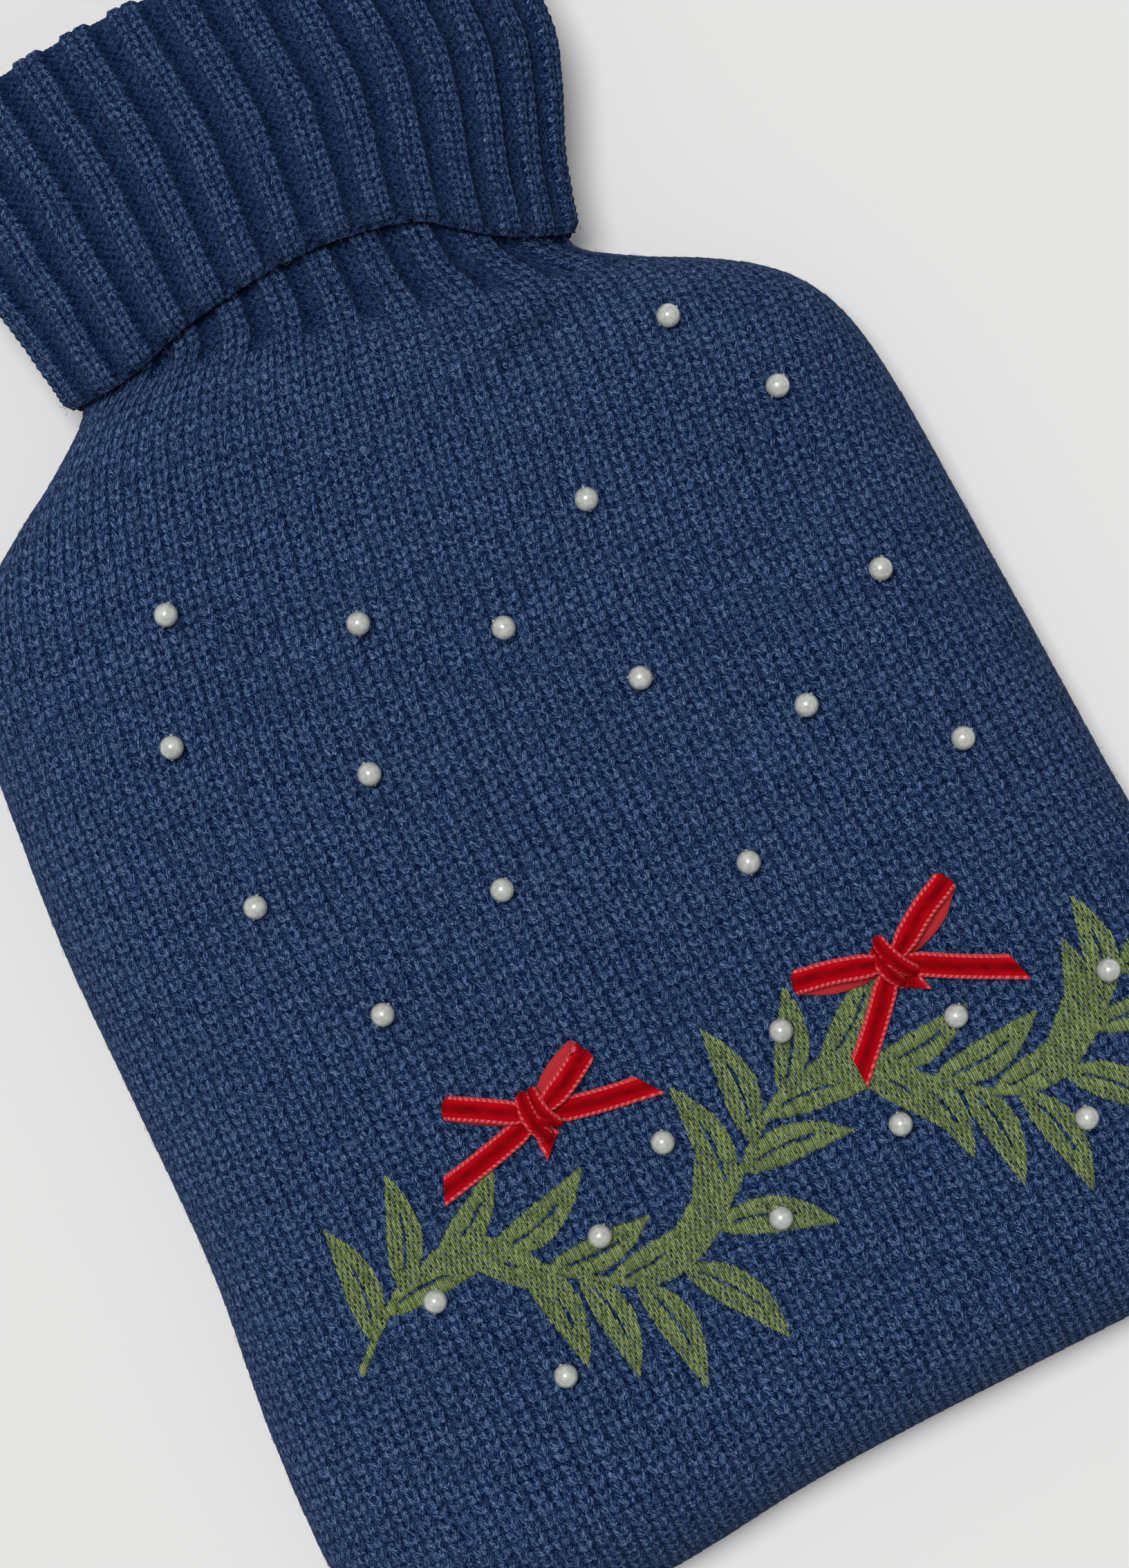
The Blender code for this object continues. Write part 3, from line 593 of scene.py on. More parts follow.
def collar_sheet(name, surface, material):
    """The neck's upper part, folded over into the turned-down collar, as a closed thin sheet."""
    rows = 2 * LAST_COURSE
    places = (np.arange(COLLAR_STITCHES + 1)[:, None] + STITCH_PLACES).reshape(-1)
    places = places[(places >= 0.5) & (places <= COLLAR_STITCHES + 0.5)]
    row, column = np.meshgrid(np.arange(rows + 1), np.arange(len(places)), indexing="ij")
    u = places[column]
    purl = purl_share(u)
    above, beside = strayed(u, row, 17.0, 31.0)
    loosened = blend(0, FADE_POINTS, np.minimum(column, len(places) - 1 - column)) * row_fade(row, rows)
    across = u + rib_swell(u) + beside * loosened
    share = rib_place((across - across[:, :1]) / (across[:, -1:] - across[:, :1]))
    course = row / 2 + above * loosened
    points = collar_point(surface, share, course, *collar_relief(u, course, purl, row))
    ids = np.arange(row.size).reshape(row.shape)
    marks = np.arange(rows + 1) / 2
    edges = [(ids[0], share[0]), (ids[-1], share[-1]), (ids[:, 0], marks), (ids[:, -1], marks)]
    spans = zip((0, MOUTH_COURSES, FOLD_END), (MOUTH_COURSES, FOLD_END, LAST_COURSE), COLLAR_INNER_ROWS)
    inner_up = np.unique(np.concatenate([np.linspace(*span) for span in spans]))
    inner_across = rib_place(np.linspace(0, 1, COLLAR_INNER_COLUMNS))
    inner_course, inner_share = np.meshgrid(inner_up, inner_across, indexing="ij")
    inner_points = collar_point(surface, inner_share, inner_course, 0.0, coarse=True)
    inner_stitch = np.stack([inner_share * COLLAR_STITCHES, inner_course], axis=-1)
    stitch = np.stack([u, row / 2], axis=-1)
    outer = (points.reshape(-1, 3), stitch.reshape(-1, 2), purl.reshape(-1), np.ones(row.size))
    return close_sheet(name, material, grid_faces(ids), outer, edges, inner_points, inner_stitch, inner_up,
                       inner_across)


# ---------------------------------------------------------------- materials
class Value:
    """A socket of a material's node tree. Sums and products of values add the nodes that work them out."""

    def __init__(self, nodes, socket):
        self.nodes = nodes
        self.socket = socket

    def __add__(self, other):
        return self.nodes.math("ADD", self, other)

    def __sub__(self, other):
        return self.nodes.math("SUBTRACT", self, other)

    def __rsub__(self, other):
        return self.nodes.math("SUBTRACT", other, self)

    def __mul__(self, other):
        return self.nodes.math("MULTIPLY", self, other)

    def __abs__(self):
        return self.nodes.math("ABSOLUTE", self)


class Nodes:
    """Builds a material's nodes, one method for each kind."""

    def __init__(self, name):
        self.material = bpy.data.materials.new(name)
        self.material.use_nodes = True
        self.tree = self.material.node_tree
        self.shader = self.tree.nodes["Principled BSDF"]

    def new(self, kind, values=None, output=0, **settings):
        node = self.tree.nodes.new(kind)
        for key, value in settings.items():
            setattr(node, key, value)
        for key, value in (values or {}).items():
            self.feed(node.inputs[key], value)
        return Value(self, node.outputs[output])

    def feed(self, socket, value):
        if isinstance(value, Value):
            self.tree.links.new(value.socket, socket)
        else:
            socket.default_value = value

    def math(self, operation, *values, clamp=False):
        return self.new("ShaderNodeMath", dict(enumerate(values)), operation=operation, use_clamp=clamp)

    def ease(self, value, low, high, bottom=0.0, top=1.0):
        """Bottom where a value is low, top where it is high, smooth between."""
        ends = {"From Min": low, "From Max": high, "To Min": bottom, "To Max": top, "Value": value}
        return self.new("ShaderNodeMapRange", ends, "Result", interpolation_type="SMOOTHSTEP")

    def vector(self, x, y, z=0.0):
        return self.new("ShaderNodeCombineXYZ", {"X": x, "Y": y, "Z": z})

    def split(self, vector):
        node = self.new("ShaderNodeSeparateXYZ", {"Vector": vector}).socket.node
        return [Value(self, socket) for socket in node.outputs]

    def stitch(self):
        return self.new("ShaderNodeUVMap", uv_map="stitch")

    def mark(self, name):
        return self.new("ShaderNodeAttribute", None, "Fac", attribute_name=name, attribute_type="GEOMETRY")

    def noise(self, vector, scale=1.0, detail=1.0, roughness=0.5, colour=False, distortion=0.0):
        values = {"Scale": scale, "Detail": detail, "Roughness": roughness, "Distortion": distortion,
                  "Vector": vector}
        return self.new("ShaderNodeTexNoise", values, "Color" if colour else "Fac")

    def random(self, vector):
        return self.new("ShaderNodeTexWhiteNoise", {"Vector": vector}, "Value", noise_dimensions="3D")

    def mix(self, share, a, b):
        """One colour where the share is 0, the other where it is 1."""
        a, b = [value if isinstance(value, Value) else (*value, 1.0) for value in (a, b)]
        return self.new("ShaderNodeMix", {0: share, 6: a, 7: b}, 2, data_type="RGBA")

    def ramp(self, value, stops):
        colour = self.new("ShaderNodeValToRGB", {"Fac": value})
        elements = colour.socket.node.color_ramp.elements
        while len(elements) < len(stops):
            elements.new(0.5)
        for element, (place, stop) in zip(elements, stops):
            element.position = place
            element.color = (*stop, 1.0)
        return colour

    def bump(self, height, distance, strength):
        return self.new("ShaderNodeBump", {"Height": height, "Distance": distance, "Strength": strength})

    def finish(self, **values):
        for key, value in values.items():
            self.feed(self.shader.inputs[key.replace("_", " ")], value)
        return self.material


STITCH_SWAY = 0.18        # how far the material's stitches stray from the mesh's
SWAY_SCALE = 1.3
FIBRES_ACROSS = 13.0      # fibres that show over the height of a row of stitches
FIBRES_AHEAD = 2.4        # how often they change along it
FIBRE_TWIST = math.radians(12.0)
FIBRE_DISORDER = 0.25     # range of the fibres' directions, in radians
PURL_LEAN = 1.3           # their direction on purl stitches
STREAK_BEND, LOOSE_BEND = 0.8, 2.0    # how much the fibres bend along the legs, and astray
PURL_UNEVEN = 2.4         # how much purl stitches differ in the material
# Painted shade: the trough is darkened at this place, beside the rib's shaded flank.
PURL_SHADED_AT = 3.35     # where in a rib's four stitches its shaded side lies
LOOSE_FIBRES = (24.0, 9.0)    # how often the fibres that stray over the stitches change, across and up
CLOUDS = (0.16, 0.34)     # how often the yarn's shade changes, across and up
# How much each thing adds to the yarn's lightness, the stitches' form as painted shade in the gaps between
# their legs, and how much painted shade purl stitches, their shaded sides and ribs take from it.
FORM_PAINTED_SHADE, STREAK_LIGHT, PURL_STREAK_LESS, LOOSE_LIGHT = 0.21, 0.36, 0.10, 0.37
TONE_LIGHT, CLOUD_LIGHT = 0.03, 0.05
PURL_PAINTED_SHADE, FLANK_PAINTED_SHADE, RIBS_PAINTED_SHADE = 0.03, 0.08, 0.022
VALUE_MIDDLE = 0.49
VALUE_CONTRAST = 1.50
VALUE_SHIFT = -0.084
YARN_STOPS = [
    (0.06, (0.0005, 0.0032, 0.019)),
    (0.26, (0.0022, 0.0104, 0.053)),
    (0.50, (0.0126, 0.0390, 0.126)),
    (0.76, (0.0640, 0.1300, 0.295)),
    (1.00, (0.2050, 0.3000, 0.510)),
]

# Where a point lies: the column and row of its stitch, 1 on its right leg, how far out and up from that leg's
# middle, and a number of its own for each leg.
LegPlace = namedtuple("LegPlace", "wale row right out up number")


def stitch_place(g):
    """The place of a point in the knit, in stitches across and up, swayed a little."""
    plain = g.stitch()
    sway = g.noise(plain, SWAY_SCALE, colour=True)
    sway = g.new("ShaderNodeVectorMath", {0: sway, 1: (0.5, 0.5, 0.5)}, operation="SUBTRACT")
    sway = g.new("ShaderNodeVectorMath", {0: sway, "Scale": STITCH_SWAY}, operation="SCALE")
    return g.split(g.new("ShaderNodeVectorMath", {0: plain, 1: sway}, operation="ADD"))[:2]


def leg_place(g, u, v):
    """Which leg of a stitch a point lies on, and where."""
    wale = g.math("FLOOR", u)
    aside = u - wale - 0.5
    right = g.math("GREATER_THAN", aside, 0.0)
    out = (abs(aside) - LEG_ASIDE) * STITCH_ASPECT
    row = g.math("ROUND", v + out * math.tan(LEG_LEAN))
    return LegPlace(wale, row, right, out, v - row, wale * 3.71 + row * 7.13 + right * 1.93)


def stitch_form(g, u, v, leg, purl):
    """The relief of the stitches, as leg_height and stitch_relief shape it in the mesh."""
    run = leg.out * math.sin(LEG_LEAN) + leg.up * math.cos(LEG_LEAN)
    side = leg.out * math.cos(LEG_LEAN) - leg.up * math.sin(LEG_LEAN)
    oval = (g.math("POWER", side * (1.0 / LEG_HALF_WIDTH), 2.0)
            + g.math("POWER", run * (1.0 / LEG_HALF_LENGTH), 2.0))
    brick = g.math("COSINE", u * (2 * math.pi)) * g.math("COSINE", v * (2 * math.pi))
    brick = brick + (g.noise(g.vector(u * 1.7, v * 1.3, 3.0)) - 0.5) * PURL_UNEVEN
    return g.ease(oval, 1.05, 0.0) * (1.0 - purl) + g.ease(brick, 1.0, -0.1, 0.30, 0.95) * purl


def fibre_streaks(g, leg, purl):
    """Fibres along the legs of the stitches, twisted and not quite side by side."""
    lean = (LEG_LEAN + FIBRE_TWIST) - leg.right * (2.0 * LEG_LEAN)
    lean = lean + (g.random(g.vector(leg.number, 5.0)) - 0.5) * FIBRE_DISORDER
    lean = lean * (1.0 - purl) + purl * PURL_LEAN
    east = leg.out * (leg.right * 2.0 - 1.0)
    across = east * g.math("COSINE", lean) + leg.up * g.math("SINE", lean)
    ahead = leg.up * g.math("COSINE", lean) - east * g.math("SINE", lean)
    place = g.vector(across * FIBRES_ACROSS, ahead * FIBRES_AHEAD, leg.number)
    return g.ease(g.noise(place, distortion=STREAK_BEND), 0.40, 0.60)


def knit_material(name):
    """Heathered navy yarn, knitted: the legs of the stitches, the fibres along them, and painted shade in the
    gaps between them, in the purl troughs and over the ribs.
    """
    g = Nodes(name)
    u, v = stitch_place(g)
    purl, ribbed = g.mark("purl"), g.mark("ribbed")
    leg = leg_place(g, u, v)
    form = stitch_form(g, u, v, leg, purl)
    streak = fibre_streaks(g, leg, purl)
    loose = g.noise(g.vector(u * LOOSE_FIBRES[0], v * LOOSE_FIBRES[1]), distortion=LOOSE_BEND)
    loose = g.ease(loose, 0.38, 0.62)
    tone = g.random(g.vector(leg.wale, leg.row, leg.right))
    cloud = g.noise(g.vector(u * CLOUDS[0], v * CLOUDS[1]), 1.0, 3.0, 0.6)
    # Painted shade: the stitches' form darkens the gaps between their legs; streaks, loose fibres, tone and
    # clouds are the yarn's own.
    value = form * FORM_PAINTED_SHADE + streak * (STREAK_LIGHT - purl * PURL_STREAK_LESS) + loose * LOOSE_LIGHT
    value = value + (tone - 0.5) * TONE_LIGHT + (cloud - 0.5) * CLOUD_LIGHT
    # Painted shade in the purl troughs, darkest beside a rib's shaded flank, and over the ribbed knit.
    rib = u - g.math("FLOOR", u * (1.0 / RIB_STITCHES)) * RIB_STITCHES
    painted_flank_shade = g.ease(abs(rib - PURL_SHADED_AT), 0.8, 0.0) * purl
    value = value - painted_flank_shade * FLANK_PAINTED_SHADE - (purl * PURL_PAINTED_SHADE + ribbed * RIBS_PAINTED_SHADE)
    value = (value - VALUE_MIDDLE) * VALUE_CONTRAST
    value = g.math("ADD", value, VALUE_MIDDLE + VALUE_SHIFT, clamp=True)
    height = form * 0.55 + (streak * 0.22 + loose * 0.12)
    return g.finish(Base_Color=g.ramp(value, YARN_STOPS), Roughness=0.95, Normal=g.bump(height, 0.0007, 0.7),
                    Specular_IOR_Level=0.05, Sheen_Weight=0.04, Sheen_Roughness=0.45,
                    Sheen_Tint=(0.35, 0.55, 0.95, 1.0))


# ---------------------------------------------------------------- threads
def tubes(name, paths, radii, sides, material):
    """One piece made of many short closed tubes, from paths (tubes, points, 3) and radii (tubes, points)."""
    paths = np.asarray(paths, float)
    count, steps = paths.shape[:2]
    radii = np.broadcast_to(radii, (count, steps))
    tangents = unit(np.gradient(paths, axis=1))
    sideways = unit(np.cross([0.0, 0.0, 1.0], tangents), least=1e-4)
    normals = np.cross(tangents, sideways)
    angles = 2 * np.pi * (np.arange(sides) + 0.5) / sides
    rings = (np.cos(angles)[:, None] * sideways[:, :, None] + np.sin(angles)[:, None] * normals[:, :, None])
    points = paths[:, :, None] + radii[:, :, None, None] * rings
    ids = np.arange(count * steps * sides).reshape(count, steps, sides)
    around = np.roll(ids, -1, axis=2)
    quads = np.stack([ids[:, :-1], around[:, :-1], around[:, 1:], ids[:, 1:]], axis=-1).reshape(-1, 4)
    faces = quads.tolist() + ids[:, 0, ::-1].tolist() + ids[:, -1].tolist()
    places = np.empty((count, steps, sides, 2))
    places[..., 0] = hash_noise(np.arange(count), 3.0, 7.0)[:, None, None]
    places[..., 1] = walk(paths)[:, :, None]
    return make_mesh(name, points.reshape(-1, 3), faces, material, places.reshape(-1, 2))


def thread_material(name, dark, light, roughness, sheen):
    """Thread whose colour differs a little from one length of it to the next."""
    g = Nodes(name)
    seed, walked, _ = g.split(g.stitch())
    twist = g.noise(g.vector(seed * 400.0, walked * 2.2), 1.0, 2.0)
    share = seed * 0.55 + g.ease(twist, 0.3, 0.7) * 0.45
    return g.finish(Base_Color=g.mix(share, dark, light), Roughness=roughness, Specular_IOR_Level=0.35,
                    Sheen_Weight=sheen, Sheen_Roughness=0.4, Normal=g.bump(twist, 0.00008, 0.6))


# ---------------------------------------------------------------- embroidery
GREENS = ((0.030, 0.056, 0.010), (0.300, 0.385, 0.125))
THREAD_PITCH = 0.46       # between neighbouring threads of the filling
THREAD_RADII = np.array([0.13, 0.26, 0.26, 0.13])      # along one stitch
THREAD_LIFTS = np.array([-0.50, 0.22, 0.22, -0.50])    # above the knit
THREAD_PLACES = np.array([0.0, 0.16, 0.84, 1.0])       # shares of the stitch's length
START_RAGGED, END_RAGGED, THREAD_ASIDE, THREAD_UNEVEN = 0.45, 0.60, 0.10, 0.08    # how far threads differ
STITCH_LENGTH = 2.9
LONGEST_STITCH = 3.9      # a shape narrower than this is crossed by one stitch
SHORTEST_STITCH = 0.9
STITCH_PAST = 0.15        # how far stitches reach past the shape that they fill
STITCH_SHIFT = 0.37       # how far the ends shift from one thread to the next, as a share of a stitch
GARLAND_FROM, GARLAND_TO, GARLAND_STEP = 28.0, 116.0, 0.1    # along: where thread is looked for
STEM_MIDDLE, STEM_SWING, STEM_WAVE = 69.0, 13.0, 92.0    # how far up it runs, and its waves' size and length
STEM_HALF = 0.8           # half its width
STEM_FROM, STEM_TO = -94.0, 99.0
LEAVES_END = 104.0        # x: further right the cover's side turns down
LEAF_SPACING = 10.4
LEAF_ANGLE, LEAF_ANGLES_RANGE = 46.0, 12.0             # from the stem, in degrees
LEAF_LENGTH, LEAF_LENGTHS_RANGE = 23.5, 5.0
SHORTEST_LEAF = 6.0
LEAF_WIDTH = 7.8          # of a leaf 25 mm long
LEAF_BEND = 0.09
MIDRIB_HALF, MIDRIB_FROM, MIDRIB_TO = 0.34, 0.14, 0.66

Leaf = namedtuple("Leaf", "x along heading length width bend")


def stem_along(x):
    """How far up the stem's middle runs."""
    return STEM_MIDDLE + STEM_SWING * np.sin(2 * np.pi * x / STEM_WAVE)


def garland_leaves():
    """Leaves to both sides of a waving stem, shorter where the garland ends on the right."""
    leaves = []
    count = int((STEM_TO - STEM_FROM - 14.0) / LEAF_SPACING)
    for number in range(count + 1):
        x = STEM_FROM + 6.0 + number * LEAF_SPACING
        slope = math.atan2(float(stem_along(x + 1.0) - stem_along(x - 1.0)), 2.0)
        for side in (1, -1):
            chance = float(hash_noise(number, side + 4.0, 2.0))
            angle = slope + side * math.radians(LEAF_ANGLE + LEAF_ANGLES_RANGE * (chance - 0.5))
            start = x + (0.0 if side > 0 else LEAF_SPACING / 2)
            length = LEAF_LENGTH + LEAF_LENGTHS_RANGE * chance
            if math.cos(angle) > 0:
                length = min(length, max(SHORTEST_LEAF, (LEAVES_END - start) / math.cos(angle)))
            width = LEAF_WIDTH * (0.4 + 0.6 * length / 25.0)
            leaves.append(Leaf(start, float(stem_along(start)), angle, length, width, -LEAF_BEND * side))
    return leaves


def garland_mask(x, along):
    """Whether thread covers each point."""
    slope = STEM_SWING * 2 * np.pi / STEM_WAVE * np.cos(2 * np.pi * x / STEM_WAVE)
    covered = np.abs(along - stem_along(x)) < STEM_HALF * np.sqrt(1 + slope**2)
    covered &= (x > STEM_FROM) & (x < STEM_TO)
    for leaf in garland_leaves():
        dx, dy = x - leaf.x, along - leaf.along
        run = (dx * math.cos(leaf.heading) + dy * math.sin(leaf.heading)) / leaf.length
        side = dy * math.cos(leaf.heading) - dx * math.sin(leaf.heading)
        share = np.clip(run, 0.0, 1.0)
        side = side - leaf.bend * leaf.length * 4 * share * (1 - share)
        half = leaf.width / 2 * np.sin(np.pi * share**0.78) ** 0.85
        inside = (run > 0) & (run < 1) & (np.abs(side) < half)
        midrib = (np.abs(side) < MIDRIB_HALF) & (run > MIDRIB_FROM) & (run < MIDRIB_TO)
        covered |= inside & ~midrib
    return covered


def stitch_cuts(column, low, high):
    """Where the stitches of one thread of the filling start and end."""
    cuts = [low]
    if high - low > LONGEST_STITCH:
        step = math.floor(low / STITCH_LENGTH) * STITCH_LENGTH
        step += (column * STITCH_SHIFT % 1.0) * STITCH_LENGTH
        while step < high - SHORTEST_STITCH:
            if step > low + SHORTEST_STITCH:
                cuts.append(step)
            step += STITCH_LENGTH
    return cuts + [high]


def filling_stitches():
    """Each stitch of the filling: its place across the cover, and where it starts and ends up it."""
    columns = np.arange(math.floor(STEM_FROM / THREAD_PITCH), math.ceil(LEAVES_END / THREAD_PITCH))
    fine = np.arange(GARLAND_FROM, GARLAND_TO, GARLAND_STEP)
    stitches = []
    for column in columns:
        x = column * THREAD_PITCH
        covered = np.concatenate([[False], garland_mask(np.full_like(fine, x), fine), [False]])
        turns = np.nonzero(np.diff(covered.astype(int)))[0]
        for first, last in zip(turns[::2], turns[1::2]):
            low, high = fine[first] - STITCH_PAST, fine[min(last, len(fine) - 1)] + STITCH_PAST
            if high - low >= SHORTEST_STITCH:
                cuts = stitch_cuts(column, low, high)
                stitches += [(x, start, end) for start, end in zip(cuts, cuts[1:])]
    return np.array(stitches)


def build_embroidery(surface):
    """Threads side by side that fill the leaves and the stem."""
    green = thread_material("green_thread", *GREENS, roughness=0.42, sheen=0.10)
    x, start, end = filling_stitches().T[..., None]
    number = np.arange(len(x))[:, None]
    jitter = hash_noise(number, 1.0, 5.0) - 0.5
    ragged = hash_noise(number, 9.0, 2.0) - 0.5
    along = start + (end - start) * THREAD_PLACES
    along[:, :2] += START_RAGGED * ragged
    along[:, 2:] += END_RAGGED * jitter
    paths = surface.over(x + THREAD_ASIDE * jitter, along, THREAD_LIFTS + THREAD_UNEVEN * jitter)
    tubes("leaf_embroidery", paths, THREAD_RADII, 4, green)


# ---------------------------------------------------------------- beads
PEARL_RADIUS = 2.70
PEARL_SUNK = 0.25         # into the knit
Pearl = namedtuple("Pearl", "x along heading tilt")
PEARLS = [
    Pearl(71.4, 246.7, 200, 10), Pearl(85.6, 220.0, 215, 5), Pearl(36.9, 215.9, 260, 8),
    Pearl(87.4, 172.8, 240, 0), Pearl(-56.4, 233.2, 230, 12), Pearl(-19.8, 213.6, 250, 6),
    Pearl(8.0, 198.7, 300, 10), Pearl(29.6, 175.4, 330, 4), Pearl(59.2, 153.7, 220, 9),
    Pearl(86.6, 131.7, 20, 0), Pearl(-68.4, 207.7, 245, 7), Pearl(-32.5, 183.5, 270, 11),
    Pearl(32.4, 128.9, 255, 5), Pearl(-67.9, 169.0, 235, 8), Pearl(-18.2, 147.9, 225, 6),
    Pearl(-53.7, 135.5, 215, 10), Pearl(-72.0, 74.5, 240, 6), Pearl(-54.0, 47.0, 270, 8),
    Pearl(-33.5, 71.0, 225, 5), Pearl(-12.0, 83.0, 250, 9), Pearl(3.5, 56.5, 265, 4),
    Pearl(22.0, 93.0, 235, 7), Pearl(36.0, 63.0, 260, 10), Pearl(57.5, 78.5, 230, 5),
    Pearl(73.0, 45.5, 255, 8), Pearl(92.0, 72.0, 245, 6),
]
# The pearls' colours on their flanks and on top: the step between them is painted shade and light, and the
# clouds mix between them too.
PEARL_PAINTED_SHADE_TO_LIGHT = ((0.360, 0.375, 0.350), (0.56, 0.58, 0.545))
PEARL_PROFILE_STEPS = 15
PEARL_SEGMENTS = 24
HOLE_ANGLE = math.radians(9.0)    # from a bead's axis to the rim of its hole
THREAD_OUT, THREAD_DEEP = 0.22, 0.3    # how far the thread stands out of a hole, and how deep it goes
THREAD_ENDS = [0.02, 0.30, 0.34]  # the thread's radius, from its end to the hole's rim


def pearl_material():
    """Glossy pearl, with painted light on its top and painted shade on its flanks, and lighter in soft
    clouds.
    """
    g = Nodes("pearl_lustre_painted_shade")
    place = g.new("ShaderNodeTexCoord", None, "Object")
    cloud = g.ease(g.noise(place, 900.0, 2.0), 0.38, 0.62)
    upward = g.split(g.new("ShaderNodeNewGeometry", None, "Normal"))[2]
    # Painted light and shade: lighter where the surface faces up, darker on the flanks; the clouds are the
    # pearl's own.
    clouds_and_painted_top_light = g.ease(upward, 0.1, 0.95) * 0.40 + cloud * 0.60
    return g.finish(Base_Color=g.mix(clouds_and_painted_top_light, *PEARL_PAINTED_SHADE_TO_LIGHT), Roughness=0.24, Specular_IOR_Level=1.0,
                    Coat_Weight=1.0, Coat_Roughness=0.05)


def build_pearls(surface):
    """Round beads turned each its own way, with the end of their thread in both holes."""
    angles = np.linspace(HOLE_ANGLE, math.pi - HOLE_ANGLE, PEARL_PROFILE_STEPS)
    nub = PEARL_RADIUS + THREAD_OUT
    end = np.array([nub, nub, nub - THREAD_DEEP])
    height = np.concatenate([end, PEARL_RADIUS * np.cos(angles), -end[::-1]])
    radius = np.concatenate([THREAD_ENDS, PEARL_RADIUS * np.sin(angles), THREAD_ENDS[::-1]])[:, None]
    turn = np.linspace(0, 2 * np.pi, PEARL_SEGMENTS, endpoint=False)
    bead = np.stack([height[:, None] + 0 * turn, radius * np.cos(turn), radius * np.sin(turn)], axis=-1)
    points, faces = [], []
    for number, spot in enumerate(PEARLS):
        heading, tilt = math.radians(spot.heading), math.radians(spot.tilt)
        turned = Matrix.Rotation(heading, 3, "Z") @ Matrix.Rotation(tilt, 3, "Y")
        middle = surface.over(spot.x, spot.along) + [0.0, 0.0, PEARL_RADIUS - PEARL_SUNK]
        points.append(bead.reshape(-1, 3) @ np.array(turned).T + middle)
        size = height.size * PEARL_SEGMENTS
        faces += tube_faces(number * size + np.arange(size).reshape(height.size, PEARL_SEGMENTS))
    face_outwards(make_mesh("pearl_beads", np.concatenate(points), faces, pearl_material()))


# ---------------------------------------------------------------- ribbon bows
RIBBON_WIDTH = 5.5
RIBBON_HALF_THICK = 0.26
# The mesh's points across a ribbon, from edge to edge, on its velvet face and back along its satin one.
HALF_FACE = np.array([0.2, 0.45, 0.66, 0.75, 0.84, 0.93, 1.0])
RIBBON_FACE = np.concatenate([-HALF_FACE[::-1], HALF_FACE])
RIBBON_BACK = np.array([0.93, 0.55, 0.0, -0.55, -0.93])
EDGE_THINNER = 0.8        # share of its thickness that the very edge lacks
VELVET_SHARE = 0.68       # how much of the width the pile covers
VELVET_PILE = 0.26
PICOT_FROM, PICOT_FULL = 0.66, 0.8    # where the edge's picots start across the ribbon
PICOT_PITCH = 1.3
PICOT_SIZE, PICOT_RELIEF = 0.08, 0.10
RIBBON_PINCH = 0.55       # how wide ribbon is at the knot, as a share of its width
PINCH_LENGTH = 7.0
RIBBON_LIFT = 0.8         # of a ribbon's middle over the surface
STRAND_START = 1.2
LOOP_RADIUS = 0.75        # of its tip
LOOP_ARCH = 0.9           # how far its upper run arches up
LOOP_RISE = 1.3           # how much higher that run lies at the knot
LOOP_APART, LOOP_CLOSES = 0.6, 0.65    # shares of its length: the runs are apart, and draw together again
LOOP_UNDER = 0.35         # how far the upper run lies to the other side, as a share of the spread
TIP_ROUNDING, TIP_LENGTH = 0.9, 3.0    # how far the edges fall back at a loop's tip
TAIL_RISE = 1.5           # how high a tail leaves the knot
TAIL_FALL = 0.55          # share of its length over which it comes down to the knit
TAIL_WAVE = 0.35          # height of its wave
SLANT_STARTS = 0.8        # share of its length where its slanted end starts
WRAP_PUFF = 0.75          # how far a length of ribbon over the knot bulges between its edges
WRAP_ENDS = 0.72          # how wide it is at its ends, as a share of its width
WRAP_FROM, WRAP_TO, WRAP_RINGS = 208.0, -28.0, 46    # how far round the knot it goes, in degrees
WRAP_BASE = 0.4           # height of the middle that it turns round
WRAP_CRUMPLE, WRAP_SWAY = 0.25, 0.5    # how far it strays from its arc up and aside
RING_STEP = 0.33          # between the rings of a ribbon's mesh
# The velvet's dark and light reds, between which its pile, crushed patches and the painted sheen towards its
# edges mix.
VELVET_REDS = ((0.110, 0.0001, 0.0015), (0.70, 0.0010, 0.010))
SATIN_REDS = ((0.40, 0.002, 0.010), (1.0, 0.165, 0.180))
# Millimetres from a ribbon's middle, each the start and end of a soft change.
SATIN_STARTS, SELVAGE_STARTS = (1.72, 1.95), (2.50, 2.62)
BORDER_STARTS, BORDER_ENDS = (1.88, 2.02), (2.42, 2.55)
PICOT_SLANT = 0.45
WEAVE_SLANT, WEAVE_LINES = 1.15, 12.5

Bow = namedtuple("Bow", "name slot x along loops tails wraps")
# spread: how far a loop's lower run shows beside its upper one, to its left if positive, and by which share
# that closes at its tip.
Strand = namedtuple("Strand", "length heading slant spread closing")
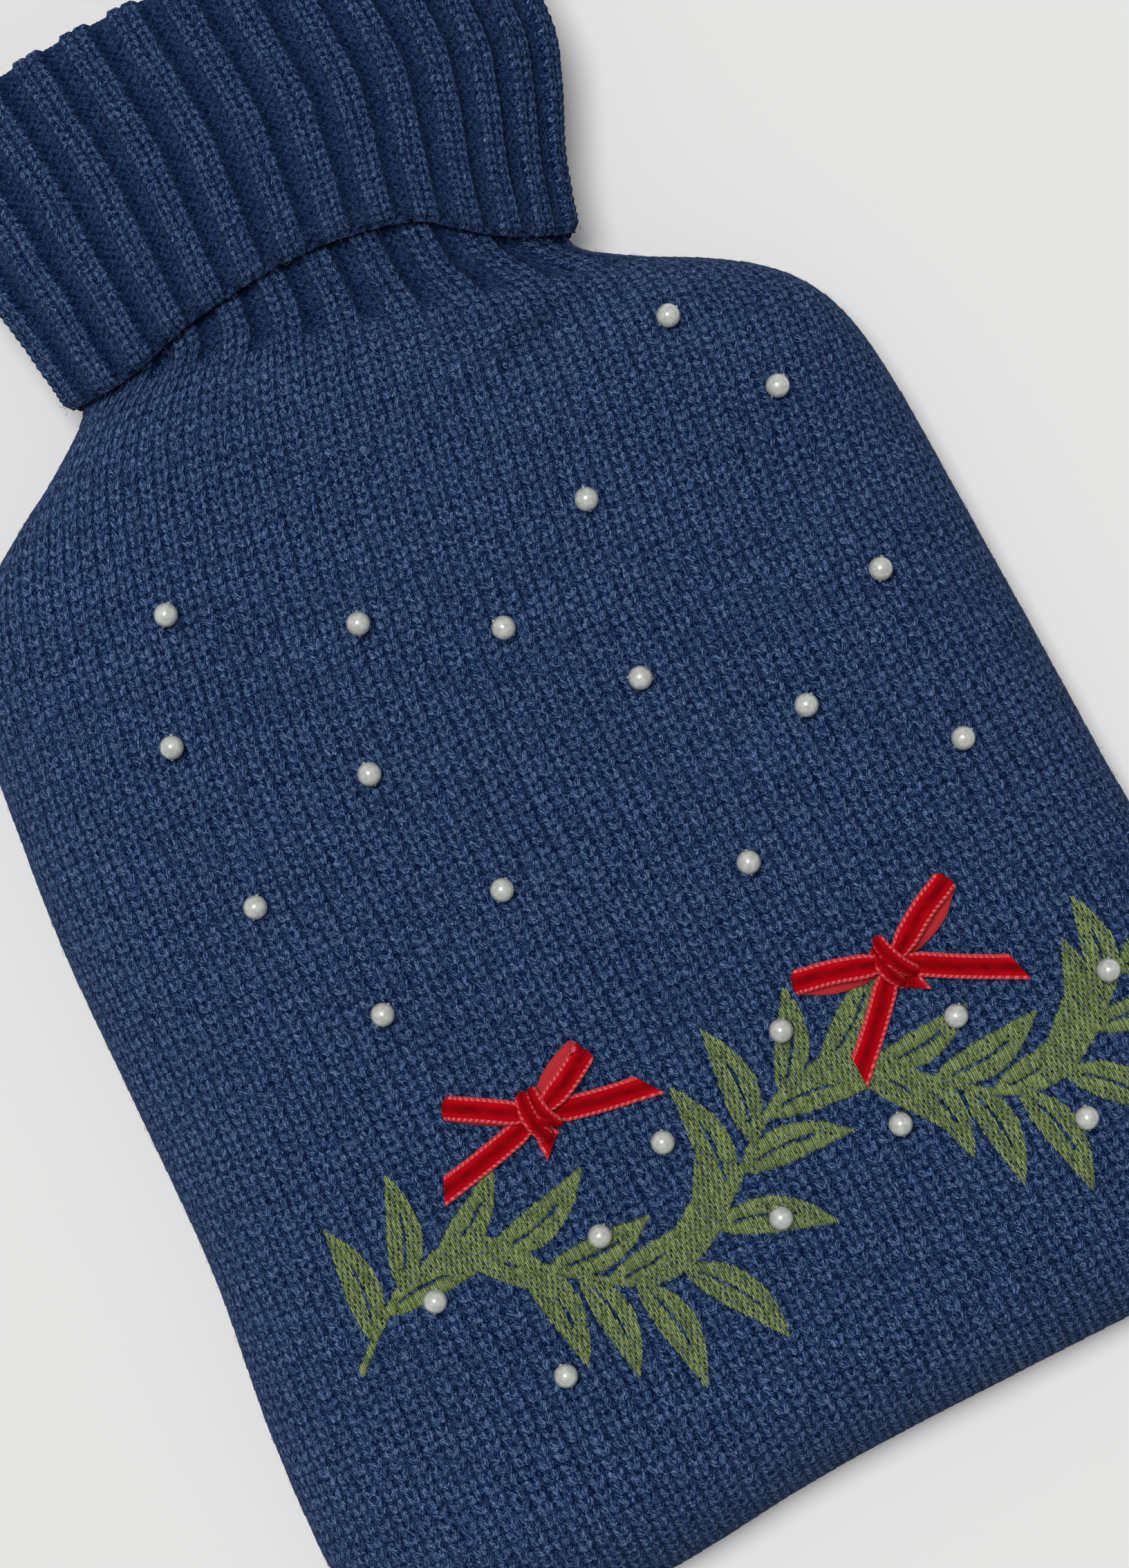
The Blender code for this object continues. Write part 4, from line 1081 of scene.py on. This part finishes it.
# A length of ribbon over the knot: which way it runs, how far aside, how long, high and wide, and its lean.
Wrap = namedtuple("Wrap", "heading aside forward reach top width lean")
BOWS = [
    Bow("bow_left", "red_velvet_left", -33.5, 100.7,
        [Strand(20.5, 149.0, 0.0, 0.5, 0.6), Strand(17.0, 28.0, 0.0, 1.8, 0.25)],
        [Strand(25.2, -12.0, -1.0, 0.0, 0.0), Strand(26.5, 192.5, 0.7, 0.0, 0.0),
         Strand(7.4, -90.0, -0.8, 0.0, 0.0)],
        [Wrap(-84.0, -1.3, 0.0, 5.1, 4.1, 3.9, -10.0), Wrap(-76.0, 1.9, -0.2, 4.3, 3.5, 3.3, 18.0),
         Wrap(-30.0, -0.9, 1.3, 2.8, 3.3, 2.8, 6.0)]),
    Bow("bow_right", "red_velvet_right", 50.4, 95.5,
        [Strand(21.8, 165.5, 0.0, 1.6, 0.8), Strand(21.5, 29.5, 0.0, -2.0, 0.8)],
        [Strand(28.3, -29.5, -0.95, 0.0, 0.0), Strand(25.2, 227.0, 0.95, 0.0, 0.0),
         Strand(7.8, -76.0, 0.8, 0.0, 0.0)],
        [Wrap(-66.0, 1.0, 0.0, 5.0, 4.2, 3.9, 8.0), Wrap(-76.0, -1.9, 0.4, 4.2, 3.5, 3.2, -16.0),
         Wrap(-20.0, 0.7, -1.0, 3.0, 3.4, 2.8, -6.0)]),
]


def ribbon_rings(centres, widths, velvet_above, rolls=0.0, cuts=0.0, puff=0.0, rounding=0.0):
    """Points of a ribbon's mesh round its section, ring by ring, with its own measures and which cloth shows.

    Centres are (ahead, aside, up). The section goes along the velvet face and back along the satin one.
    """
    every = (np.radians(rolls), cuts, rounding)
    rolls, cuts, rounding = [np.broadcast_to(values, len(centres))[:, None] for values in every]
    tangents = unit(np.gradient(centres, axis=0))
    level = np.cross(np.cross(tangents, [0.0, 1.0, 0.0]), tangents)
    level = unit(level * np.sign(level[:, 1:2]))
    upright = np.cross(tangents, level)
    widthways = level * np.cos(rolls) + upright * np.sin(rolls)
    normals = upright * np.cos(rolls) - level * np.sin(rolls)
    walked = walk(centres)[:, None]
    across = np.concatenate([RIBBON_FACE, RIBBON_BACK])
    is_back = np.arange(len(across)) >= len(RIBBON_FACE)
    picot = np.cos(2 * np.pi * walked / PICOT_PITCH) * blend(PICOT_FROM, PICOT_FULL, np.abs(across))
    pile = VELVET_PILE * (1 - blend(VELVET_SHARE - 0.12, VELVET_SHARE + 0.02, np.abs(across)))
    height = np.where(is_back, -RIBBON_HALF_THICK, RIBBON_HALF_THICK + pile + puff * (1 - across**2))
    height = height * (1 - EDGE_THINNER * (np.abs(across) == 1.0)) + PICOT_RELIEF * picot * ~is_back
    half = widths[:, None] / 2 + PICOT_SIZE * picot
    offset = (across * half)[..., None] * widthways[:, None]
    offset += (height * velvet_above)[..., None] * normals[:, None]
    points = centres[:, None] + offset
    points[..., 0] += cuts * across * half - rounding * across**4
    measures = np.stack(np.broadcast_arrays(across * RIBBON_WIDTH / 2, walked), axis=-1)
    return points, measures, np.broadcast_to(is_back, half.shape)


def loop_centres(strand):
    """A loop's middle line: out along the knit, round its tip and back above, the runs set a little apart."""
    turn = strand.length - LOOP_RADIUS
    steps = max(2, int((turn - STRAND_START) / RING_STEP))
    runs = np.linspace(STRAND_START, turn, steps)
    angles = np.linspace(-np.pi / 2, np.pi / 2, 9)[1:-1]
    rise = LOOP_ARCH * np.sin(np.pi * runs / turn) + LOOP_RISE * (1 - runs / turn)
    apart = blend(0.0, LOOP_APART, runs / turn) * (1 - strand.closing * blend(LOOP_CLOSES, 1.0, runs / turn))
    ahead = np.concatenate([runs, turn + LOOP_RADIUS * np.cos(angles), runs[::-1]])
    up = np.concatenate([0 * runs, LOOP_RADIUS * (1 + np.sin(angles)), (2 * LOOP_RADIUS + rise)[::-1]])
    tip = np.linspace(1.0, -LOOP_UNDER, len(angles)) * apart[-1]
    aside = strand.spread * np.concatenate([apart, tip, -LOOP_UNDER * apart[::-1]])
    return np.stack([ahead, aside, up], axis=1)


def tail_centres(strand):
    """A tail's middle line: down from the knot to the knit, with a slight wave and bend."""
    runs = np.linspace(STRAND_START, strand.length, int((strand.length - STRAND_START) / RING_STEP))
    fall = TAIL_RISE * (1 - blend(0.0, strand.length * TAIL_FALL, runs))
    wave = TAIL_WAVE * np.sin(np.pi * runs / strand.length) ** 2
    bend = 0.5 * strand.slant * np.sin(np.pi * runs / strand.length)
    return np.stack([runs, bend, fall + wave], axis=1)


def wrap_centres(wrap):
    """The middle line of a length over the knot: up one side, over and down the other, a little crumpled."""
    angles = np.radians(np.linspace(WRAP_FROM, WRAP_TO, WRAP_RINGS))
    ahead = wrap.forward + wrap.reach * np.cos(angles)
    up = WRAP_BASE + (wrap.top - WRAP_BASE) * np.sin(angles) + WRAP_CRUMPLE * np.sin(angles * 5.0)
    aside = wrap.aside + WRAP_SWAY * np.cos(angles * 2.0)
    return np.stack([ahead, aside, up], axis=1)


def bow_lengths(bow):
    """Each length of the bow's ribbon: its rings, its heading and whether it follows the knit below it."""
    for strand in bow.loops + bow.tails:
        is_loop = strand in bow.loops
        centres = loop_centres(strand) if is_loop else tail_centres(strand)
        run = centres[:, 0]
        widths = RIBBON_WIDTH * (RIBBON_PINCH + (1 - RIBBON_PINCH) * blend(0.0, PINCH_LENGTH, run))
        if is_loop:
            rounding = TIP_ROUNDING * blend(strand.length - TIP_LENGTH, strand.length, run)
            rings = ribbon_rings(centres, widths, -1.0, rounding=rounding)
        else:
            cuts = strand.slant * blend(SLANT_STARTS, 1.0, run / strand.length)
            rings = ribbon_rings(centres, widths, 1.0, cuts=cuts)
        yield rings, strand.heading, True
    for wrap in bow.wraps:
        centres = wrap_centres(wrap)
        swell = WRAP_ENDS + (1 - WRAP_ENDS) * np.clip(centres[:, 2] / wrap.top, 0.0, 1.0)
        yield ribbon_rings(centres, wrap.width * swell, 1.0, wrap.lean, puff=WRAP_PUFF), wrap.heading, False


def build_bow(surface, bow, material):
    """All lengths of one bow's ribbon as one piece, lying on the front."""
    points, faces, measures, backs = [], [], [], []
    count = 0
    for (rings, measure, back), heading, drapes in bow_lengths(bow):
        turn = math.radians(heading)
        ahead, aside, up = np.moveaxis(rings, -1, 0)
        x = bow.x + ahead * math.cos(turn) - aside * math.sin(turn)
        along = bow.along + ahead * math.sin(turn) + aside * math.cos(turn)
        ground = surface.over(x, along) if drapes else surface.over(bow.x, bow.along)
        points.append(np.stack([x, along, ground[..., 2] + RIBBON_LIFT + up], axis=-1).reshape(-1, 3))
        faces += tube_faces(count + np.arange(x.size).reshape(x.shape))
        measures.append(measure.reshape(-1, 2))
        backs.append(back.reshape(-1))
        count += x.size
    piece = make_mesh(f"{bow.name}_ribbon", np.concatenate(points), faces, material,
                      np.concatenate(measures), satin_side=np.concatenate(backs))
    face_outwards(piece)
    return piece


def velvet_material(name):
    """Red ribbon: velvet along its middle, satin with picot dashes at its edges and on its back."""
    g = Nodes(name)
    aside, walked, _ = g.split(g.stitch())
    back = g.math("GREATER_THAN", g.mark("satin_side"), 0.5)
    out = abs(aside)
    satin = g.math("MAXIMUM", g.ease(out, *SATIN_STARTS), back)
    pile = g.noise(g.vector(aside, walked), 7.0, 4.0, 0.7)
    crushed = g.noise(g.vector(aside * 0.5, walked * 0.22), 1.0, 2.0)
    # Painted sheen: the velvet gets lighter from its middle towards its edges; the pile and the crushed
    # patches are its own.
    pile_and_painted_sheen = pile * 0.40 + g.ease(out, 0.2, 1.8) * 0.42 + (g.ease(crushed, 0.3, 0.7) - 0.5) * 0.20
    phase = g.math("FRACT", g.math("DIVIDE", walked + out * PICOT_SLANT, PICOT_PITCH))
    dash = g.ease(abs(phase - 0.5), 0.20, 0.34) * g.ease(pile, 0.30, 0.60, 0.45, 1.0)
    border = g.ease(out, *BORDER_STARTS) * (1.0 - g.ease(out, *BORDER_ENDS))
    selvage = g.ease(out, *SELVAGE_STARTS)
    weave = g.math("SINE", (walked + aside * WEAVE_SLANT) * WEAVE_LINES)
    weave = g.ease(weave, -0.7, 0.9) * g.ease(pile, 0.35, 0.65, 0.4, 1.0)
    face_share = g.math("MAXIMUM", (dash * 0.90 + 0.10) * border, selvage * 0.40)
    share = face_share * (1.0 - back) + weave * 0.55 * back
    colour = g.mix(satin, g.mix(pile_and_painted_sheen, *VELVET_REDS), g.mix(share, *SATIN_REDS))
    height = share * satin + pile * 0.8 * (1.0 - satin)
    return g.finish(Base_Color=colour, Roughness=g.ease(satin, 0.0, 1.0, 0.85, 0.36),
                    Sheen_Weight=0.22, Sheen_Roughness=0.35, Sheen_Tint=(1.0, 0.02, 0.03, 1.0),
                    Specular_IOR_Level=0.05, Normal=g.bump(height, 0.00035, 0.6))


# ---------------------------------------------------------------- linked seam
SEAM_TOP = 287.0          # along: where the linking goes under the collar
LINK_PITCH = 2.5
LINK_LENGTH = 4.8
LINK_WIDTH = 0.55
# Along one strand of a link: shares of its length, radii, how far it stands out and how far up it lies.
LINK_PLACES = np.array([-0.5, -0.25, 0.2, 0.5])
LINK_RADII = LINK_WIDTH * np.array([0.4, 1.0, 1.0, 0.4])
LINK_PROUD = np.array([-0.80, -0.15, -0.10, -0.70])
LINK_UPS = 0.30 + 0.42 * np.array([-1.0, -0.3, 0.6, 1.0])
LINK_UNEVEN = 0.10
SEAM_BLUES = ((0.0080, 0.0210, 0.060), (0.0270, 0.0520, 0.120))


def build_seam(surface):
    """The ridge of linked stitches round both sides and the bottom, where the two halves meet."""
    last = int(surface.up_of(SEAM_TOP))
    line = np.concatenate([surface.points[last:0:-1, 0], surface.points[0], surface.points[1:last, -1]])
    line[:, 2] -= SEAM_GAP / 2
    line = line[np.concatenate([[True], np.diff(walk(line)) > 1e-6])]
    walked = walk(line)

    def at(place):
        place = np.clip(place, 0.0, walked[-1])
        return np.stack([np.interp(place, walked, line[:, axis]) for axis in range(3)], axis=-1)

    number = np.arange(int(walked[-1] / LINK_PITCH))[:, None]
    place = (number + 0.5) * LINK_PITCH + LINK_LENGTH * LINK_PLACES
    ahead = at(place + 0.6) - at(place - 0.6)
    outward = unit(np.stack([ahead[..., 1], -ahead[..., 0], 0 * ahead[..., 0]], axis=-1))
    proud = LINK_PROUD + LINK_UNEVEN * (hash_noise(number, 2.0) - 0.5)
    spots = at(place) + outward * proud[..., None]
    paths = [spots + LINK_UPS[:, None] * [0.0, 0.0, strand] for strand in (-1, 1)]
    yarn = thread_material("seam_yarn", *SEAM_BLUES, roughness=0.95, sheen=0.0)
    tubes("linked_seam", np.concatenate(paths), LINK_RADII, 5, yarn)


# ---------------------------------------------------------------- loose fibres
HAIRS_FRONT = 4200
HAIRS_BACK = 1300
HAIRS_EDGE = 1500
HAIRS_COLLAR = 450
HAIRS_COLLAR_EDGE = 420
HAIR_RADIUS = 0.032
HAIR_RADII = HAIR_RADIUS * np.array([1.0, 0.9, 0.8, 0.5])
HAIR_LENGTHS = (1.0, 3.4)
HAIR_TURNS = (-1.3, 1.3)  # how far each third of a fibre turns from the one before it, in radians
HAIR_RISES = (0.25, 0.9)  # how steeply fibres leave the knit
HAIRS_TOP = 284.0         # along: how far up the body they stand
HAIRS_SIDE = 0.07         # share of the way across that counts as the outline
COLLAR_HAIRS_AT = 300.0   # along: the part of the neck whose directions the collar's fibres follow
HAIR_BLUES = ((0.030, 0.065, 0.160), (0.110, 0.175, 0.330))


def grow_hairs(surface, share, up, start, random):
    """Curved paths of fibres from their starting points, over the part of a surface that they stand on."""
    count = len(share)
    length = random.uniform(*HAIR_LENGTHS, count)
    heading = random.uniform(0, 2 * np.pi, count)
    turn = random.uniform(*HAIR_TURNS, count)
    rise = random.uniform(*HAIR_RISES, count)
    east = unit(surface.sample(share + 0.004, up) - surface.sample(share - 0.004, up))
    north = unit(surface.sample(share, up + 0.6) - surface.sample(share, up - 0.6))
    away = np.cross(east, north) * surface.side
    points = [start]
    for step in range(3):
        way = heading + turn * step
        direction = east * np.cos(way)[:, None] + north * np.sin(way)[:, None]
        climb = rise * (1.0 - 0.75 * step)
        points.append(points[-1] + (direction + away * climb[:, None]) * (length / 3)[:, None])
    return np.stack(points, axis=1)


def build_hairs(front, back):
    """Short fibres that stand out of the yarn, over both halves, round the outline and on the collar."""
    random = np.random.default_rng(7)
    paths = []
    for surface, count, near_edge in ((front, HAIRS_FRONT, False), (back, HAIRS_BACK, False),
                                      (front, HAIRS_EDGE, True), (back, HAIRS_EDGE // 3, True)):
        share = random.uniform(0.01, 0.99, count)
        if near_edge:
            share = np.where(share < 0.5, share * HAIRS_SIDE, 1.0 - (1.0 - share) * HAIRS_SIDE)
        up = random.uniform(1.0, float(surface.up_of(HAIRS_TOP)), count)
        start = surface.sample(share, up, np.full(count, -0.1))
        paths.append(grow_hairs(surface, share, up, start, random))
    for surface, count, reach in ((front, HAIRS_COLLAR, 1.0), (front, HAIRS_COLLAR_EDGE, 0.08),
                                  (back, HAIRS_COLLAR_EDGE // 4, 1.0)):
        share = random.uniform(0.01, 0.99, count)
        course = LAST_COURSE - COLLAR_COURSES * reach * random.uniform(0.0, 1.0, count)
        start = collar_point(surface, share, course, -0.3 - EDGE_ROUNDING * 0.4 * (reach < 1.0))
        up = np.full(count, surface.up_of(COLLAR_HAIRS_AT))
        paths.append(grow_hairs(surface, share, up, start, random))
    fibre = thread_material("loose_fibre", *HAIR_BLUES, roughness=0.9, sheen=0.0)
    paths = np.concatenate(paths)
    paths[..., 2] = np.maximum(paths[..., 2], 2 * HAIR_RADIUS)
    tubes("loose_fibres", paths, HAIR_RADII, 3, fibre)


# ---------------------------------------------------------------- stage, light and camera
PICTURE_HEIGHT_MM = 348.9       # what the picture's height covers, in the plane of the outline
OUTLINE_Z = 15.0
CAMERA_HEIGHT = 1300.0          # above that plane
CAMERA_OVER = (4.4, 162.3)      # the point below the camera, in the cover's own measure
CAMERA_TURN = 27.0              # how far the cover's long axis leans in the picture, in degrees
SENSOR = 36.0
FLOOR_HALF = 6.0                # metres
WORLD_LIGHT = 0.24
KEY_LIGHT = 2.60
KEY_SPREAD = math.radians(24.0)
KEY_COLOUR = (1.0, 0.99, 0.975)
KEY_FROM = (-0.34, 0.94, 0.0)
KEY_HEIGHT = math.radians(76.0)


def floor_material():
    """The pale, slightly uneven board that the cover lies on."""
    g = Nodes("pale_floor")
    grain = g.noise(g.new("ShaderNodeTexCoord", None, "Object"), 900.0, 2.0)
    return g.finish(Base_Color=(0.67, 0.67, 0.67, 1.0), Roughness=0.9, Specular_IOR_Level=0.0,
                    Emission_Color=(1.0, 1.0, 1.0, 1.0), Emission_Strength=0.10,
                    Normal=g.bump(grain, 0.00002, 0.3))


def build_stage():
    data = bpy.data.meshes.new("floor")
    corners = [(FLOOR_HALF * x, FLOOR_HALF * y, 0.0) for x, y in ((-1, -1), (1, -1), (1, 1), (-1, 1))]
    data.from_pydata(corners, [], [(0, 1, 2, 3)])
    data.materials.append(floor_material())
    floor = bpy.data.objects.new("floor", data)
    floor.location.z = -0.0002
    bpy.context.scene.collection.objects.link(floor)
    floor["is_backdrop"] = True


def build_light():
    """Even light from all round, and a broad lamp high up beyond the collar."""
    world = bpy.data.worlds.new("studio")
    bpy.context.scene.world = world
    world.use_nodes = True
    background = world.node_tree.nodes["Background"]
    background.inputs["Color"].default_value = (1.0, 1.0, 1.0, 1.0)
    background.inputs["Strength"].default_value = WORLD_LIGHT
    lamp = bpy.data.lights.new("key", "SUN")
    lamp.energy = KEY_LIGHT
    lamp.angle = KEY_SPREAD
    lamp.color = KEY_COLOUR
    key = bpy.data.objects.new("key", lamp)
    towards = Vector(KEY_FROM).normalized() * math.cos(KEY_HEIGHT)
    towards.z = math.sin(KEY_HEIGHT)
    key.rotation_euler = towards.to_track_quat("Z", "Y").to_euler()
    bpy.context.scene.collection.objects.link(key)


def build_camera():
    data = bpy.data.cameras.new("camera")
    data.sensor_fit = "VERTICAL"
    data.sensor_height = SENSOR
    data.lens = SENSOR * CAMERA_HEIGHT / PICTURE_HEIGHT_MM
    data.clip_start, data.clip_end = 0.05, 20.0
    data.dof.use_dof = False
    camera = bpy.data.objects.new("camera", data)
    over = np.array([*CAMERA_OVER, OUTLINE_Z + CAMERA_HEIGHT]) + TO_FRAME
    camera.location = Vector(over * MM)
    camera.rotation_euler = (0.0, 0.0, math.radians(-CAMERA_TURN))
    bpy.context.scene.collection.objects.link(camera)
    bpy.context.scene.camera = camera


def build_half(side, word, knit):
    """One half of the cover. Gives back its surface."""
    surface = Surface(side)
    body = body_sheet(f"{word}_knit", surface, knit)
    collar = collar_sheet(f"{word}_collar", surface, knit)
    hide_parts(f"{word}_panel")
    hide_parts(f"{word}_panel")
    return surface


def build_cover():
    knit = knit_material("navy_knit")
    front = build_half(1, "front", knit)
    back = build_half(-1, "back", knit)
    build_embroidery(front)
    build_pearls(front)
    velvet = velvet_material("red_velvet")
    for bow in BOWS:
        piece = build_bow(front, bow, velvet)
        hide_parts(bow.name)
    build_seam(front)
    build_hairs(front, back)


build_camera()
build_stage()
build_light()
build_cover()
bpy.context.scene.view_settings.view_transform = "Standard"
bpy.context.view_layer.update()
dressed_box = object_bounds()
[[list(corner) for corner in box] for box in (solid_box, dressed_box)]
